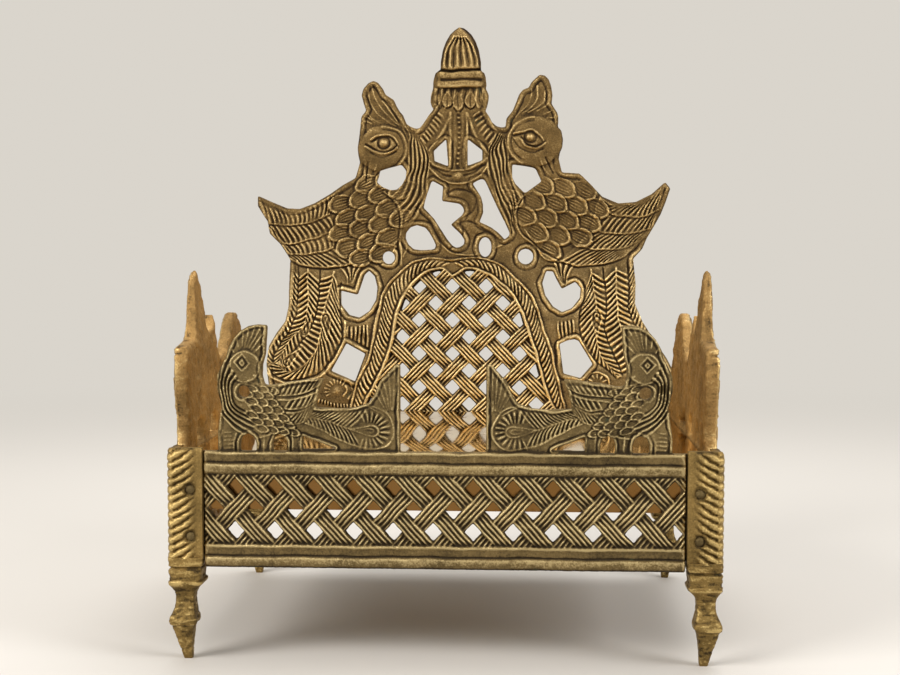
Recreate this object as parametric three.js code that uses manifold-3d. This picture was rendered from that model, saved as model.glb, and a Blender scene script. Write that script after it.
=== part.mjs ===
// Miniature cast brass throne: four openwork panels riveted to four corner posts, with a sheet brass seat.
// Millimetres, +Z up, the front faces -Y. The origin is on the ground under the middle of the throne.
import * as THREE from "three";
import { mergeVertices } from "three/addons/utils/BufferGeometryUtils.js";
import Module from "manifold-3d";

const wasm = await Module();
wasm.setup();

// Overall size.
const overallWidth = 160;
const overallDepth = 118;
const overallHeight = 200;

// Levels above the ground.
const railTop = 61.4;
const panelBottom = 27.4;
const legHeight = 30.6;
const postTop = 62.4;

// Corner posts: an L-section with rope ridges on both outer faces, over a moulded leg.
const postFace = 10.4;
const flangeThickness = 2.2;
const ropeDepth = 1.2;
const ropePitch = 2.4;
const ropeSlope = 0.4;
const ropeValleyShare = 0.12;
const footTip = 2.6;

// Castings of the panels.
const panelThickness = 3.6;
const tabThickness = 1.6;
const latticePlate = 2.3;
const birdPlate = 2.5;
const sideBirdThickness = 5;
const topRailHeight = 6.8;
const bottomRailHeight = 6.9;
const rollRadius = 1.35;
const reliefHeight = 0.9;

// Woven lattice: half the spacing of its diamonds, and the size of a diamond.
const latticeStepX = 5.75;
const latticeStepZ = 6.3;
const diamondWidth = 4.8;
const diamondHeight = 5.3;
const weaveGroove = 0.5;
const backStepX = 6.15;
const backStepZ = 6.2;

// Crests above the rails.
const frontBirdHeight = 36.6;
const frontBirdInset = 4.1;
const frontBirdInner = 12.4;
const sideCrestHeight = 52;
const crestTaper = 2.2;
const crestTaperShare = 0.56;
const sideBirdFrontInset = 5.5;
const sideBirdRearInset = 9.5;
const finialRadius = 7.5;
const finialDepth = 5;

// Seat sheet, folded down behind the front panel and before the back panel.
const sheetThickness = 1;
const seatDrop = 0.6;
const foldHeight = 16.8;
const foldInset = 1.6;
const lugLength = 12;
const lugReach = 2.2;
const lugHeight = 2;

// Rivets.
const shankRadius = 0.8;
const headRadius = 1.25;
const headHeight = 0.9;
const tailHeight = 0.8;
const domeShare = 0.75;
const rivetInset = 7;
const sideRivetInset = 8.3;
const upperRivet = 50.4;
const lowerRivet = 36.8;

// Gap between pieces that meet, the overlap of parts of one casting, the overrun of a cut, and the step
// between the backs of the tabs, rails, lattice and crest of one casting.
const fit = 0.3;
const sink = 0.4;
const overrun = 2;
const layerStep = 0.1;

// Counts of facets.
const roundSteps = 6;
const curveSteps = 1;
const rivetSides = 6;
const legSides = 8;
const finialSides = 12;

const postWall = flangeThickness + ropeDepth;
const halfWidth = overallWidth / 2;
const halfDepth = overallDepth / 2;
const frontClear = halfWidth - postFace;
const sideClear = halfDepth - postFace;
const frontBirdOuter = frontClear - frontBirdInset;
const sideBirdFront = halfDepth - sideBirdFrontInset;
const sideBirdRear = halfDepth - sideBirdRearInset;
const foldHalfWidth = frontClear - foldInset;
const crestHeight = overallHeight - railTop;
const seatTop = railTop - seatDrop;

const castBrass = { color: 0x8a6a34, roughness: 0.45, metalness: 1 };
const wornBrass = { color: 0xa8823c, roughness: 0.4, metalness: 1 };
const sheetBrass = { color: 0xb98a3e, roughness: 0.18, metalness: 1 };
const rivetBrass = { color: 0x7a5a2a, roughness: 0.5, metalness: 1 };

// Closed geometry to a solid and back.
function toSolid(geometry) {
  const bare = geometry.index ? geometry.toNonIndexed() : geometry.clone();
  bare.deleteAttribute("normal");
  bare.deleteAttribute("uv");
  const merged = mergeVertices(bare, fit / 1000);
  return new wasm.Manifold(
    new wasm.Mesh({
      numProp: 3,
      vertProperties: new Float32Array(merged.attributes.position.array),
      triVerts: new Uint32Array(merged.index.array),
    }),
  );
}

function toMesh(name, solid, colours) {
  const { vertProperties, triVerts } = solid.getMesh();
  const geometry = new THREE.BufferGeometry();
  geometry.setAttribute("position", new THREE.BufferAttribute(new Float32Array(vertProperties), 3));
  geometry.setIndex(new THREE.BufferAttribute(new Uint32Array(triVerts), 1));
  geometry.computeVertexNormals();
  const mesh = new THREE.Mesh(geometry, new THREE.MeshStandardMaterial(colours));
  mesh.name = name;
  return mesh;
}

function joined(solids) {
  return solids.reduce((all, next) => all.add(next));
}

// A box from its least corner and its size.
function block(x, y, z, width, depth, height) {
  const box = new THREE.BoxGeometry(width, depth, height);
  const at = box.attributes.position;
  for (let i = 0; i < at.count; i += 1) {
    const [px, py, pz] = [at.getX(i) > 0, at.getY(i) > 0, at.getZ(i) > 0];
    at.setXYZ(i, px ? x + width : x, py ? y + depth : y, pz ? z + height : z);
  }
  return toSolid(box);
}

// Shapes are drawn flat in x and y. A panel is drawn so, with its relief facing +Z, and stood up last.
function extruded(shape, from, to, steps = roundSteps) {
  const depth = to - from;
  const geometry = new THREE.ExtrudeGeometry(shape, { depth, bevelEnabled: false, curveSegments: steps });
  const at = geometry.attributes.position;
  for (let i = 0; i < at.count; i += 1) at.setZ(i, at.getZ(i) > depth / 2 ? to : from);
  return geometry;
}

function slab(shape, from, to, steps) {
  return toSolid(extruded(shape, from, to, steps));
}

// Turns a profile drawn in height and relief, extruded along its length, to lie in the panel.
const profileToPanel = new THREE.Matrix4().makeBasis(
  new THREE.Vector3(0, 1, 0),
  new THREE.Vector3(0, 0, 1),
  new THREE.Vector3(1, 0, 0),
);

// An outline of smooth runs that meet at corners. Each point is a pair of shares, placed by toPoint.
function outlineShape(runs, toPoint) {
  const shape = new THREE.Shape();
  runs.forEach((run, i) => {
    const [first, ...rest] = run.map(toPoint);
    if (i === 0) shape.moveTo(first.x, first.y);
    else shape.lineTo(first.x, first.y);
    if (rest.length === 1) shape.lineTo(rest[0].x, rest[0].y);
    else if (rest.length > 1) shape.splineThru(rest);
  });
  shape.closePath();
  return shape;
}

function roundShape(centre, radius) {
  return new THREE.Shape().absarc(centre.x, centre.y, radius, 0, 2 * Math.PI);
}

function diamondShape(x, y) {
  const halfW = diamondWidth / 2;
  const halfH = diamondHeight / 2;
  const corners = [[x - halfW, y], [x, y - halfH], [x + halfW, y], [x, y + halfH]];
  return new THREE.Shape(corners.map(([px, py]) => new THREE.Vector2(px, py)));
}

// One strand of the weave where it lies on top: a bar with a narrower top and both ends sloping down under its
// neighbours. It is drawn along +Z, its width along x and its relief along y.
function strandSolid(length, width) {
  const half = width / 2;
  const shape = new THREE.Shape();
  shape.moveTo(half, -sink);
  shape.lineTo(half / 2, reliefHeight);
  shape.lineTo(-half / 2, reliefHeight);
  shape.lineTo(-half, -sink);
  shape.closePath();
  const geometry = new THREE.ExtrudeGeometry(shape, { depth: length, bevelEnabled: false, steps: 1 });
  const at = geometry.attributes.position;
  for (let i = 0; i < at.count; i += 1) {
    const lift = at.getY(i) > 0 ? reliefHeight : 0;
    at.setZ(i, at.getZ(i) > length / 2 ? length / 2 - lift : lift - length / 2);
  }
  return geometry;
}

// The weave over a grid of diamonds: holes where column and row add up even, and crossings between them.
// Over strands slope up to the right on even rows and down to the right on odd rows.
function weave(grid, window, strandWindow) {
  const { stepX, stepZ, centre, columns, rowFrom, rowTo } = grid;
  const span = Math.hypot(stepX, stepZ);
  const holeAcross = (diamondWidth * diamondHeight) / Math.hypot(diamondWidth, diamondHeight);
  const width = (2 * stepX * stepZ) / span - holeAcross;
  const over = strandSolid(2 * span - width - weaveGroove, width - weaveGroove);
  const holes = [];
  const strands = [];
  for (let row = rowFrom; row <= rowTo; row += 1) {
    for (let column = -columns; column < columns; column += 1) {
      const x = (column + 0.5) * stepX;
      const y = centre + row * stepZ;
      if ((column + row) % 2 === 0) {
        holes.push(slab(diamondShape(x, y), -overrun, panelThickness + overrun));
        continue;
      }
      const slope = row % 2 === 0 ? stepZ : -stepZ;
      const along = new THREE.Vector3(stepX, slope, 0).normalize();
      const up = new THREE.Vector3(0, 0, 1);
      const across = new THREE.Vector3().crossVectors(up, along);
      const turn = new THREE.Matrix4().makeBasis(across, up, along);
      turn.setPosition(x, y, latticePlate);
      strands.push(toSolid(over.clone().applyMatrix4(turn)));
    }
  }
  return { holes: joined(holes).intersect(window), strands: joined(strands).intersect(strandWindow) };
}

// A rail with two rolls along its front, from -half to half.
function railSolid(bottom, height, half, flip) {
  const shape = new THREE.Shape();
  const face = panelThickness - rollRadius;
  const low = flip ? bottom + height - 4 * rollRadius : bottom;
  shape.moveTo(bottom, layerStep);
  shape.lineTo(bottom + height, layerStep);
  shape.lineTo(bottom + height, face);
  if (!flip) shape.lineTo(low + 4 * rollRadius, face);
  shape.absarc(low + 3 * rollRadius, face, rollRadius, 0, Math.PI, false);
  shape.absarc(low + rollRadius, face, rollRadius, 0, Math.PI, false);
  if (flip) shape.lineTo(bottom, face);
  shape.closePath();
  return toSolid(extruded(shape, -half, half, roundSteps / 2).applyMatrix4(profileToPanel));
}

// The peacock of the front panel, facing -x with its fanned tail at +x, in shares of its length and height.
// The runs meet at the corners of the outline.
const frontBirdShares = {
  outline: [
    [[0.005, 0], [0.005, 0.157]],
    [[0.027, 0.354], [0, 0.551], [0.022, 0.661], [0.054, 0.74]],
    [[0.065, 0.811], [0.105, 0.91], [0.158, 0.976], [0.212, 1], [0.278, 0.995]],
    [[0.267, 0.772], [0.245, 0.64], [0.262, 0.53]],
    [[0.3, 0.528], [0.452, 0.567], [0.588, 0.583]],
    [[0.556, 0.472], [0.539, 0.354]],
    [[0.67, 0.346], [0.784, 0.362], [0.855, 0.425], [0.877, 0.535], [0.975, 0.693]],
    [[1, 0.693], [1, 0]],
  ],
  triangle: [[[0.468, 0.14], [0.468, 0.025]], [[0.664, 0.03]]],
  hole: { at: [0.15, 0.478], radius: 0.05 },
  head: { at: [0.153, 0.677], radius: 0.126, eye: 0.03 },
  wing: [
    [[0.26, 0.49], [0.452, 0.53], [0.565, 0.555]],
    [[0.53, 0.46], [0.52, 0.36], [0.47, 0.27], [0.4, 0.21]],
    [[0.34, 0.22], [0.25, 0.3], [0.24, 0.42]],
  ],
  tail: [
    [[0.52, 0.19], [0.62, 0.3], [0.75, 0.335], [0.85, 0.38], [0.93, 0.3], [0.955, 0.17]],
    [[0.93, 0.06], [0.82, 0.02], [0.68, 0.06], [0.58, 0.13]],
  ],
  arches: [{ at: 0.171, half: 0.046 }, { at: 0.347, half: 0.042 }],
};
// The side panels' peacock: its beak and breast make an upright front, its crest a tall spire behind them,
// its wing tip a thin spike and its tail a rounded hump that falls to the rear.
const sideBirdShares = {
  outline: [
    [[0.02, 0], [0.035, 0.12], [0.015, 0.27], [0, 0.4], [0.002, 0.5]],
    [[0.015, 0.575], [0.07, 0.59], [0.125, 0.61]],
    [[0.15, 0.72], [0.165, 0.86], [0.19, 0.955], [0.22, 1]],
    [[0.245, 0.95], [0.265, 0.8], [0.28, 0.66]],
    [[0.31, 0.625], [0.35, 0.66]],
    [[0.376, 0.735], [0.385, 0.6]],
    [[0.42, 0.49], [0.47, 0.445], [0.53, 0.48], [0.58, 0.56], [0.63, 0.67]],
    [[0.675, 0.715], [0.72, 0.705], [0.765, 0.63], [0.8, 0.5], [0.85, 0.36], [0.915, 0.27], [0.98, 0.235]],
    [[1, 0.19], [1, 0]],
  ],
  triangle: [[[0.468, 0.15], [0.468, 0.025]], [[0.664, 0.03]]],
  hole: { at: [0.2, 0.33], radius: 0.05 },
  head: { at: [0.135, 0.5], radius: 0.11, eye: 0.03 },
  wing: [
    [[0.27, 0.44], [0.32, 0.54], [0.368, 0.66]],
    [[0.4, 0.47], [0.46, 0.36], [0.5, 0.24], [0.45, 0.2]],
    [[0.36, 0.2], [0.28, 0.27], [0.26, 0.36]],
  ],
  tail: [
    [[0.53, 0.2], [0.57, 0.38], [0.64, 0.56], [0.7, 0.66], [0.74, 0.6], [0.78, 0.45], [0.84, 0.31], [0.93, 0.2]],
    [[0.95, 0.1], [0.82, 0.04], [0.68, 0.07], [0.58, 0.13]],
  ],
  arches: [{ at: 0.171, half: 0.046 }, { at: 0.347, half: 0.042 }],
};
const archTopShare = 0.075;

function birdSolid(bird, length, height, from, plate) {
  const toPoint = ([u, v]) => new THREE.Vector2(u * length, v * height);
  const face = from + plate;
  const body = outlineShape(bird.outline, toPoint);
  body.holes.push(roundShape(toPoint(bird.hole.at), bird.hole.radius * height));
  const cuts = [slab(outlineShape(bird.triangle, toPoint), from - overrun, face + overrun)];
  for (const { at, half } of bird.arches) {
    const arch = new THREE.Shape();
    arch.moveTo((at + half) * length, -sink);
    arch.lineTo((at + half) * length, archTopShare * height);
    arch.absellipse(at * length, archTopShare * height, half * length, archTopShare * height, 0, Math.PI);
    arch.lineTo((at - half) * length, -sink);
    cuts.push(slab(arch, from - overrun, face + overrun, roundSteps / 3));
  }
  const head = roundShape(toPoint(bird.head.at), bird.head.radius * height);
  const eye = roundShape(toPoint(bird.head.at), bird.head.eye * height);
  const parts = [
    slab(body, from, face, curveSteps),
    slab(head, face - sink, face + reliefHeight / 2),
    slab(eye, face - sink, face + reliefHeight, roundSteps / 2),
    slab(outlineShape(bird.wing, toPoint), face - sink, face + reliefHeight / 2, curveSteps),
    slab(outlineShape(bird.tail, toPoint), face - sink, face + reliefHeight / 3, curveSteps),
  ];
  return joined(parts).subtract(joined(cuts));
}

// Everything of a panel below its crest: rails, lattice between the posts and the riveted end tabs.
function apronSolid(clear, edge) {
  const half = clear - fit;
  const latticeBottom = panelBottom + bottomRailHeight - sink;
  const latticeTop = railTop - topRailHeight + sink;
  const middle = (latticeBottom + latticeTop) / 2;
  const rows = Math.max(1, Math.floor((latticeTop - latticeBottom - 2 * sink) / latticeStepZ));
  const lowRow = -Math.floor((rows - 1) / 2);
  const shift = rows % 2 === 0 ? latticeStepZ / 2 : 0;
  const columns = Math.floor((half - diamondWidth / 2) / latticeStepX + 0.5);
  const plate = block(
    -half, latticeBottom, 2 * layerStep,
    2 * half, latticeTop - latticeBottom, latticePlate - 2 * layerStep,
  );
  const window = block(
    -half, latticeBottom, -overrun,
    2 * half, latticeTop - latticeBottom, panelThickness + 2 * overrun,
  );
  const strandWindow = block(
    -half, latticeBottom - sink, -overrun,
    2 * half, latticeTop - latticeBottom + 2 * sink, panelThickness + 2 * overrun,
  );
  const grid = { stepX: latticeStepX, stepZ: latticeStepZ, centre: middle - shift, columns };
  const { holes, strands } = weave({ ...grid, rowFrom: lowRow, rowTo: lowRow + rows - 1 }, window, strandWindow);
  const tabBottom = legHeight + fit;
  return plate
    .add(strands)
    .subtract(holes)
    .add(railSolid(railTop - topRailHeight, topRailHeight, half, true))
    .add(railSolid(panelBottom, bottomRailHeight, half, false))
    .add(block(-edge, tabBottom, 0, edge - half + sink, railTop - tabBottom, tabThickness))
    .add(block(half - sink, tabBottom, 0, edge - half + sink, railTop - tabBottom, tabThickness));
}

// Clearance holes for the rivets, bored through the thickness at both heights on both ends.
function rivetBores(place) {
  const bores = [];
  for (const x of [-place, place]) {
    for (const y of [lowerRivet, upperRivet]) {
      const bore = roundShape(new THREE.Vector2(x, y), shankRadius + fit);
      bores.push(slab(bore, -overrun, panelThickness + overrun));
    }
  }
  return joined(bores);
}

const frontTabEdge = halfWidth - postWall - fit;
const sideTabEdge = halfDepth - postWall - fit - tabThickness - fit;

function frontPanel() {
  const back = 3 * layerStep;
  const bird = birdSolid(
    frontBirdShares, frontBirdOuter - frontBirdInner, frontBirdHeight + sink, back, birdPlate,
  );
  const left = bird.translate([-frontBirdOuter, railTop - sink, 0]);
  return apronSolid(frontClear, frontTabEdge)
    .add(left)
    .add(left.mirror([1, 0, 0]))
    .subtract(rivetBores(halfWidth - rivetInset));
}

// A side panel, drawn with its front end at -x. Its bird faces forward, and stands clear of the post tops.
function sidePanel() {
  const back = 3 * layerStep;
  const plate = sideBirdThickness - reliefHeight;
  const bird = birdSolid(sideBirdShares, sideBirdFront + sideBirdRear, sideCrestHeight + sink, back, plate)
    .translate([-sideBirdFront, railTop - sink, 0]);
  const taper = new THREE.Shape();
  taper.moveTo(railTop + crestTaperShare * sideCrestHeight, back);
  taper.lineTo(railTop + sideCrestHeight + overrun, back + crestTaper);
  taper.lineTo(railTop + sideCrestHeight + overrun, -overrun);
  taper.lineTo(railTop + crestTaperShare * sideCrestHeight, -overrun);
  taper.closePath();
  const above = postTop + fit - railTop + sink;
  const posts = [-halfDepth - overrun, sideClear - fit].map((x) =>
    block(x, railTop - sink, tabThickness, postFace + fit + overrun, above, sideBirdThickness + overrun),
  );
  const lugTop = seatTop - sheetThickness - fit;
  const lugs = [-sideClear / 2, sideClear / 2 - lugLength].map((x) =>
    block(x, lugTop - lugHeight, -lugReach, lugLength, lugHeight, lugReach + sink),
  );
  return apronSolid(sideClear, sideTabEdge)
    .add(bird)
    .subtract(toSolid(extruded(taper, -sideBirdFront - overrun, sideBirdRear + overrun).applyMatrix4(profileToPanel)))
    .subtract(joined(posts))
    .subtract(rivetBores(halfDepth - sideRivetInset))
    .add(joined(lugs));
}

// The back crest, in shares of half the width and of its height above the rails: two peacocks that
// flank a central sign under a domed finial, over a feathered arch.
const crestOutlineShares = [
  [[-0.87, 0], [-0.892, 0.07], [-0.9, 0.13], [-0.875, 0.185], [-0.824, 0.218], [-0.797, 0.257],
    [-0.792, 0.323], [-0.785, 0.397]],
  [[-0.829, 0.436], [-0.879, 0.465]],
  [[-0.888, 0.497], [-0.934, 0.538]],
  [[-0.934, 0.565], [-0.856, 0.545], [-0.778, 0.529], [-0.709, 0.535], [-0.618, 0.562], [-0.553, 0.588],
    [-0.482, 0.611]],
  [[-0.461, 0.651], [-0.47, 0.677], [-0.47, 0.699], [-0.459, 0.734], [-0.457, 0.767], [-0.432, 0.787]],
  [[-0.442, 0.804], [-0.453, 0.831], [-0.439, 0.848], [-0.409, 0.864], [-0.383, 0.862], [-0.36, 0.848],
    [-0.344, 0.829]],
  [[-0.306, 0.815], [-0.287, 0.791], [-0.265, 0.776]],
  [[-0.248, 0.752], [-0.223, 0.743], [-0.194, 0.739], [-0.176, 0.748], [-0.147, 0.773]],
  [[-0.123, 0.79], [-0.135, 0.8], [-0.138, 0.817], [-0.126, 0.845]],
  [[-0.126, 0.86], [-0.115, 0.883]],
  [[-0.093, 0.892], [0.087, 0.892]],
  [[0.108, 0.88], [0.115, 0.866], [0.113, 0.843]],
  [[0.127, 0.826], [0.123, 0.805], [0.111, 0.785]],
  [[0.129, 0.77], [0.147, 0.751], [0.177, 0.742], [0.203, 0.743]],
  [[0.207, 0.765], [0.242, 0.791], [0.257, 0.818], [0.276, 0.837], [0.308, 0.845]],
  [[0.318, 0.857], [0.341, 0.87], [0.363, 0.879], [0.39, 0.871], [0.405, 0.855], [0.415, 0.829],
    [0.411, 0.802]],
  [[0.436, 0.78], [0.443, 0.763], [0.439, 0.743]],
  [[0.456, 0.732], [0.464, 0.703], [0.456, 0.681], [0.443, 0.666], [0.459, 0.624]],
  [[0.539, 0.621], [0.599, 0.587], [0.668, 0.55], [0.764, 0.543], [0.852, 0.562], [0.925, 0.598]],
  [[0.948, 0.581], [0.921, 0.536], [0.893, 0.499], [0.852, 0.461], [0.824, 0.424]],
  [[0.783, 0.398], [0.797, 0.324], [0.797, 0.266], [0.852, 0.213], [0.916, 0.154], [0.965, 0.115],
    [0.97, 0.06], [0.93, 0]],
];
const crestOpeningShares = {
  leftBeak: [[[-0.371, 0.629], [-0.36, 0.632], [-0.287, 0.644], [-0.268, 0.644]],
    [[-0.249, 0.629], [-0.253, 0.607], [-0.28, 0.585], [-0.31, 0.578], [-0.352, 0.585], [-0.386, 0.6]],
    [[-0.377, 0.613]]],
  rightBeak: [[[0.234, 0.646], [0.253, 0.644], [0.318, 0.639], [0.341, 0.633]], [[0.367, 0.601]],
    [[0.298, 0.572], [0.287, 0.572]], [[0.249, 0.594], [0.234, 0.611]]],
  leftSign: [[[-0.136, 0.6], [-0.129, 0.603]], [[-0.081, 0.588], [-0.086, 0.55]],
    [[-0.026, 0.545], [0, 0.541], [0.014, 0.528], [0.011, 0.516], [-0.019, 0.501]], [[-0.046, 0.488]],
    [[0, 0.463], [0.018, 0.446], [0.011, 0.434], [-0.011, 0.428], [-0.03, 0.429], [-0.056, 0.444],
      [-0.088, 0.472], [-0.125, 0.505]], [[-0.171, 0.533], [-0.162, 0.556], [-0.147, 0.581]]],
  rightSign: [[[0.053, 0.596], [0.08, 0.605], [0.1, 0.608], [0.113, 0.6]],
    [[0.139, 0.567], [0.179, 0.518], [0.22, 0.472], [0.221, 0.459]],
    [[0.201, 0.449], [0.157, 0.474], [0.12, 0.486], [0.085, 0.495]],
    [[0.102, 0.52], [0.098, 0.552], [0.079, 0.573]]],
  leftTop: [[[-0.067, 0.713], [-0.14, 0.666], [-0.057, 0.641]]],
  rightTop: [[[0.03, 0.713], [0.117, 0.667], [0.03, 0.642]]],
  leftBelly: [[[-0.202, 0.487], [-0.235, 0.48], [-0.253, 0.463], [-0.251, 0.446], [-0.227, 0.427],
    [-0.195, 0.421], [-0.136, 0.422], [-0.118, 0.425]], [[-0.114, 0.434], [-0.136, 0.461], [-0.162, 0.48]]],
  leftHeart: [[[-0.443, 0.356], [-0.418, 0.367], [-0.39, 0.345], [-0.383, 0.31], [-0.4, 0.275],
    [-0.45, 0.245], [-0.503, 0.245], [-0.549, 0.271], [-0.553, 0.314]], [[-0.475, 0.303]]],
  rightHeart: [[[0.461, 0.319], [0.528, 0.338], [0.549, 0.314], [0.535, 0.285], [0.484, 0.259],
    [0.438, 0.264], [0.393, 0.295], [0.372, 0.33], [0.39, 0.366]], [[0.42, 0.365], [0.438, 0.343]]],
  leftFoot: [[[-0.528, 0.174], [-0.44, 0.146]], [[-0.489, 0.071], [-0.601, 0.099]]],
  rightFoot: [[[0.452, 0.174], [0.507, 0.187], [0.539, 0.182]], [[0.604, 0.12], [0.549, 0.083]],
    [[0.471, 0.095]]],
};
const crestRoundShares = [
  { at: [-0.331, 0.401], radius: 0.0172 },
  { at: [0.296, 0.404], radius: 0.0205 },
];
const crestOvalShares = { at: [0.111, 0.429], across: 0.0172, high: 0.0264 };
const archOuterShares = [
  [[-0.521, -0.02], [-0.482, 0.068], [-0.425, 0.143], [-0.397, 0.227], [-0.374, 0.283], [-0.342, 0.328],
    [-0.246, 0.381], [-0.149, 0.4], [-0.039, 0.398]],
  [[0.085, 0.402], [0.186, 0.381], [0.269, 0.337], [0.337, 0.287], [0.383, 0.208], [0.434, 0.116],
    [0.49, -0.02]],
];
const archInnerShares = [
  [[-0.471, -0.02], [-0.406, 0.047], [-0.342, 0.122], [-0.31, 0.178], [-0.296, 0.215], [-0.278, 0.27],
    [-0.236, 0.318], [-0.158, 0.358], [-0.083, 0.372], [-0.039, 0.35]],
  [[0.039, 0.372], [0.131, 0.352], [0.213, 0.313], [0.269, 0.265], [0.296, 0.218], [0.333, 0.155],
    [0.379, 0.062], [0.44, -0.02]],
];
const crestHeadShares = [{ at: [-0.354, 0.691], radius: 0.065 }, { at: [0.34, 0.69], radius: 0.065 }];
const leftWingShares = [
  [[-0.3, 0.57], [-0.38, 0.575], [-0.475, 0.595], [-0.553, 0.575], [-0.618, 0.55], [-0.709, 0.522],
    [-0.778, 0.515], [-0.856, 0.529], [-0.915, 0.547]],
  [[-0.87, 0.485], [-0.8, 0.44], [-0.76, 0.4]],
  [[-0.62, 0.385], [-0.5, 0.4], [-0.4, 0.4], [-0.31, 0.44], [-0.27, 0.5]],
];
const rightWingShares = [
  [[0.29, 0.57], [0.37, 0.58], [0.46, 0.61], [0.539, 0.607], [0.599, 0.575], [0.668, 0.538],
    [0.764, 0.53], [0.852, 0.548], [0.922, 0.582]],
  [[0.87, 0.495], [0.8, 0.43], [0.76, 0.4]],
  [[0.62, 0.385], [0.5, 0.4], [0.38, 0.4], [0.3, 0.44], [0.26, 0.5]],
];
const domeShares = [[1.1, 0], [1.24, 0.03], [1.25, 0.09], [1.13, 0.125], [1.13, 0.15], [1.2, 0.19], [1.14, 0.26],
  [0.985, 0.285], [0.975, 0.434], [0.875, 0.628], [0.715, 0.775], [0.515, 0.886], [0.26, 0.966], [0.1, 1]];
const finialBaseShare = 0.845;

// The finial: two rolls under a dome, flattened towards the plate that carries them.
function finialSolid() {
  const base = railTop + finialBaseShare * crestHeight - sink;
  const height = overallHeight - base;
  const profile = domeShares.map(([r, v]) => new THREE.Vector2(r * finialRadius, v * height));
  profile.unshift(new THREE.Vector2(0, 0));
  profile.push(new THREE.Vector2(0, height));
  const geometry = new THREE.LatheGeometry(profile, finialSides);
  geometry.scale(1, 1, finialDepth / (2 * finialRadius));
  geometry.translate(0, base, panelThickness / 2);
  return toSolid(geometry);
}

function backPanel() {
  const toPoint = ([u, v]) => new THREE.Vector2(u * halfWidth, railTop + v * crestHeight);
  const half = frontClear - fit;
  const tabBottom = legHeight + fit;
  const tabFrom = panelThickness - tabThickness;
  const cut = (shape) => slab(shape, -overrun, panelThickness + overrun, curveSteps);
  const oval = new THREE.Shape();
  const centre = toPoint(crestOvalShares.at);
  const { across, high } = crestOvalShares;
  oval.absellipse(centre.x, centre.y, across * crestHeight, high * crestHeight, 0, 2 * Math.PI);
  const openings = [slab(oval, -overrun, panelThickness + overrun)];
  for (const runs of Object.values(crestOpeningShares)) openings.push(cut(outlineShape(runs, toPoint)));
  for (const { at, radius } of crestRoundShares) {
    openings.push(slab(roundShape(toPoint(at), radius * crestHeight), -overrun, panelThickness + overrun));
  }

  const latticeBottom = panelBottom + bottomRailHeight - sink;
  const archWindow = cut(outlineShape(archInnerShares, toPoint));
  const lowWindow = block(
    -half, latticeBottom, -overrun,
    2 * half, railTop - sink - latticeBottom - seatDrop, panelThickness + 2 * overrun,
  );
  const firstRow = -Math.floor((railTop - latticeBottom) / backStepZ);
  const lastRow = Math.ceil((0.41 * crestHeight) / backStepZ);
  const grid = { stepX: backStepX, stepZ: backStepZ, centre: railTop + diamondHeight / 3 };
  const upperGrid = { ...grid, columns: Math.ceil((halfWidth / 2) / backStepX), rowFrom: -1, rowTo: lastRow };
  const lowerGrid = { ...grid, columns: Math.floor(half / backStepX), rowFrom: firstRow, rowTo: 0 };
  const archBand = cut(outlineShape(archOuterShares, toPoint));
  const upper = weave(upperGrid, archWindow, archBand);
  const lower = weave(lowerGrid, lowWindow, lowWindow);
  const bandSolid = slab(outlineShape(archOuterShares, toPoint), latticePlate - sink, panelThickness, curveSteps)
    .subtract(archWindow);
  const parts = [
    slab(outlineShape(crestOutlineShares, toPoint), 3 * layerStep, latticePlate, curveSteps),
    block(
      -half, latticeBottom, 2 * layerStep,
      2 * half, railTop + sink - latticeBottom, latticePlate - 3 * layerStep,
    ),
    railSolid(panelBottom, bottomRailHeight, half, false),
    bandSolid,
    upper.strands,
    finialSolid(),
    slab(outlineShape(leftWingShares, toPoint), latticePlate - sink, latticePlate + reliefHeight / 2, curveSteps),
    slab(outlineShape(rightWingShares, toPoint), latticePlate - sink, latticePlate + reliefHeight / 2, curveSteps),
  ];
  for (const { at: place, radius } of crestHeadShares) {
    const head = roundShape(toPoint(place), radius * crestHeight);
    parts.push(slab(head, latticePlate - sink, latticePlate + reliefHeight));
  }
  const posts = [-halfWidth - overrun, half].map((x) =>
    block(x, railTop - sink, -overrun, postFace + fit + overrun, postTop + fit - railTop + sink, tabFrom + overrun),
  );
  return joined(parts)
    .subtract(joined(openings))
    .subtract(joined(posts))
    .subtract(upper.holes)
    .subtract(lower.holes)
    .add(block(-frontTabEdge, tabBottom, tabFrom, frontTabEdge - half + sink, railTop - tabBottom, tabThickness))
    .add(block(half - sink, tabBottom, tabFrom, frontTabEdge - half + sink, railTop - tabBottom, tabThickness))
    .subtract(rivetBores(halfWidth - rivetInset));
}

// Rope ridges on one face of a post, drawn in x (across the face) and y (up), with their relief on +Z.
function ropeSolid(width) {
  const height = postTop - legHeight + sink;
  const ridges = Math.max(1, Math.round(height / ropePitch));
  const pitch = height / ridges;
  const shape = new THREE.Shape();
  shape.moveTo(-pitch * 3, -sink);
  for (let i = -3; i < ridges + 3; i += 1) {
    shape.lineTo(i * pitch, ropeDepth * ropeValleyShare);
    shape.lineTo((i + 0.5) * pitch, ropeDepth);
  }
  shape.lineTo((ridges + 3) * pitch, -sink);
  shape.closePath();
  const rise = new THREE.Matrix4().makeShear(ropeSlope, 0, 0, 0, 0, 0);
  const geometry = extruded(shape, 0, width).applyMatrix4(profileToPanel).applyMatrix4(rise);
  const face = block(0, 0, -2 * sink, width, height, ropeDepth + 2 * sink + overrun);
  return toSolid(geometry).intersect(face).translate([0, legHeight - sink, 0]);
}

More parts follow.
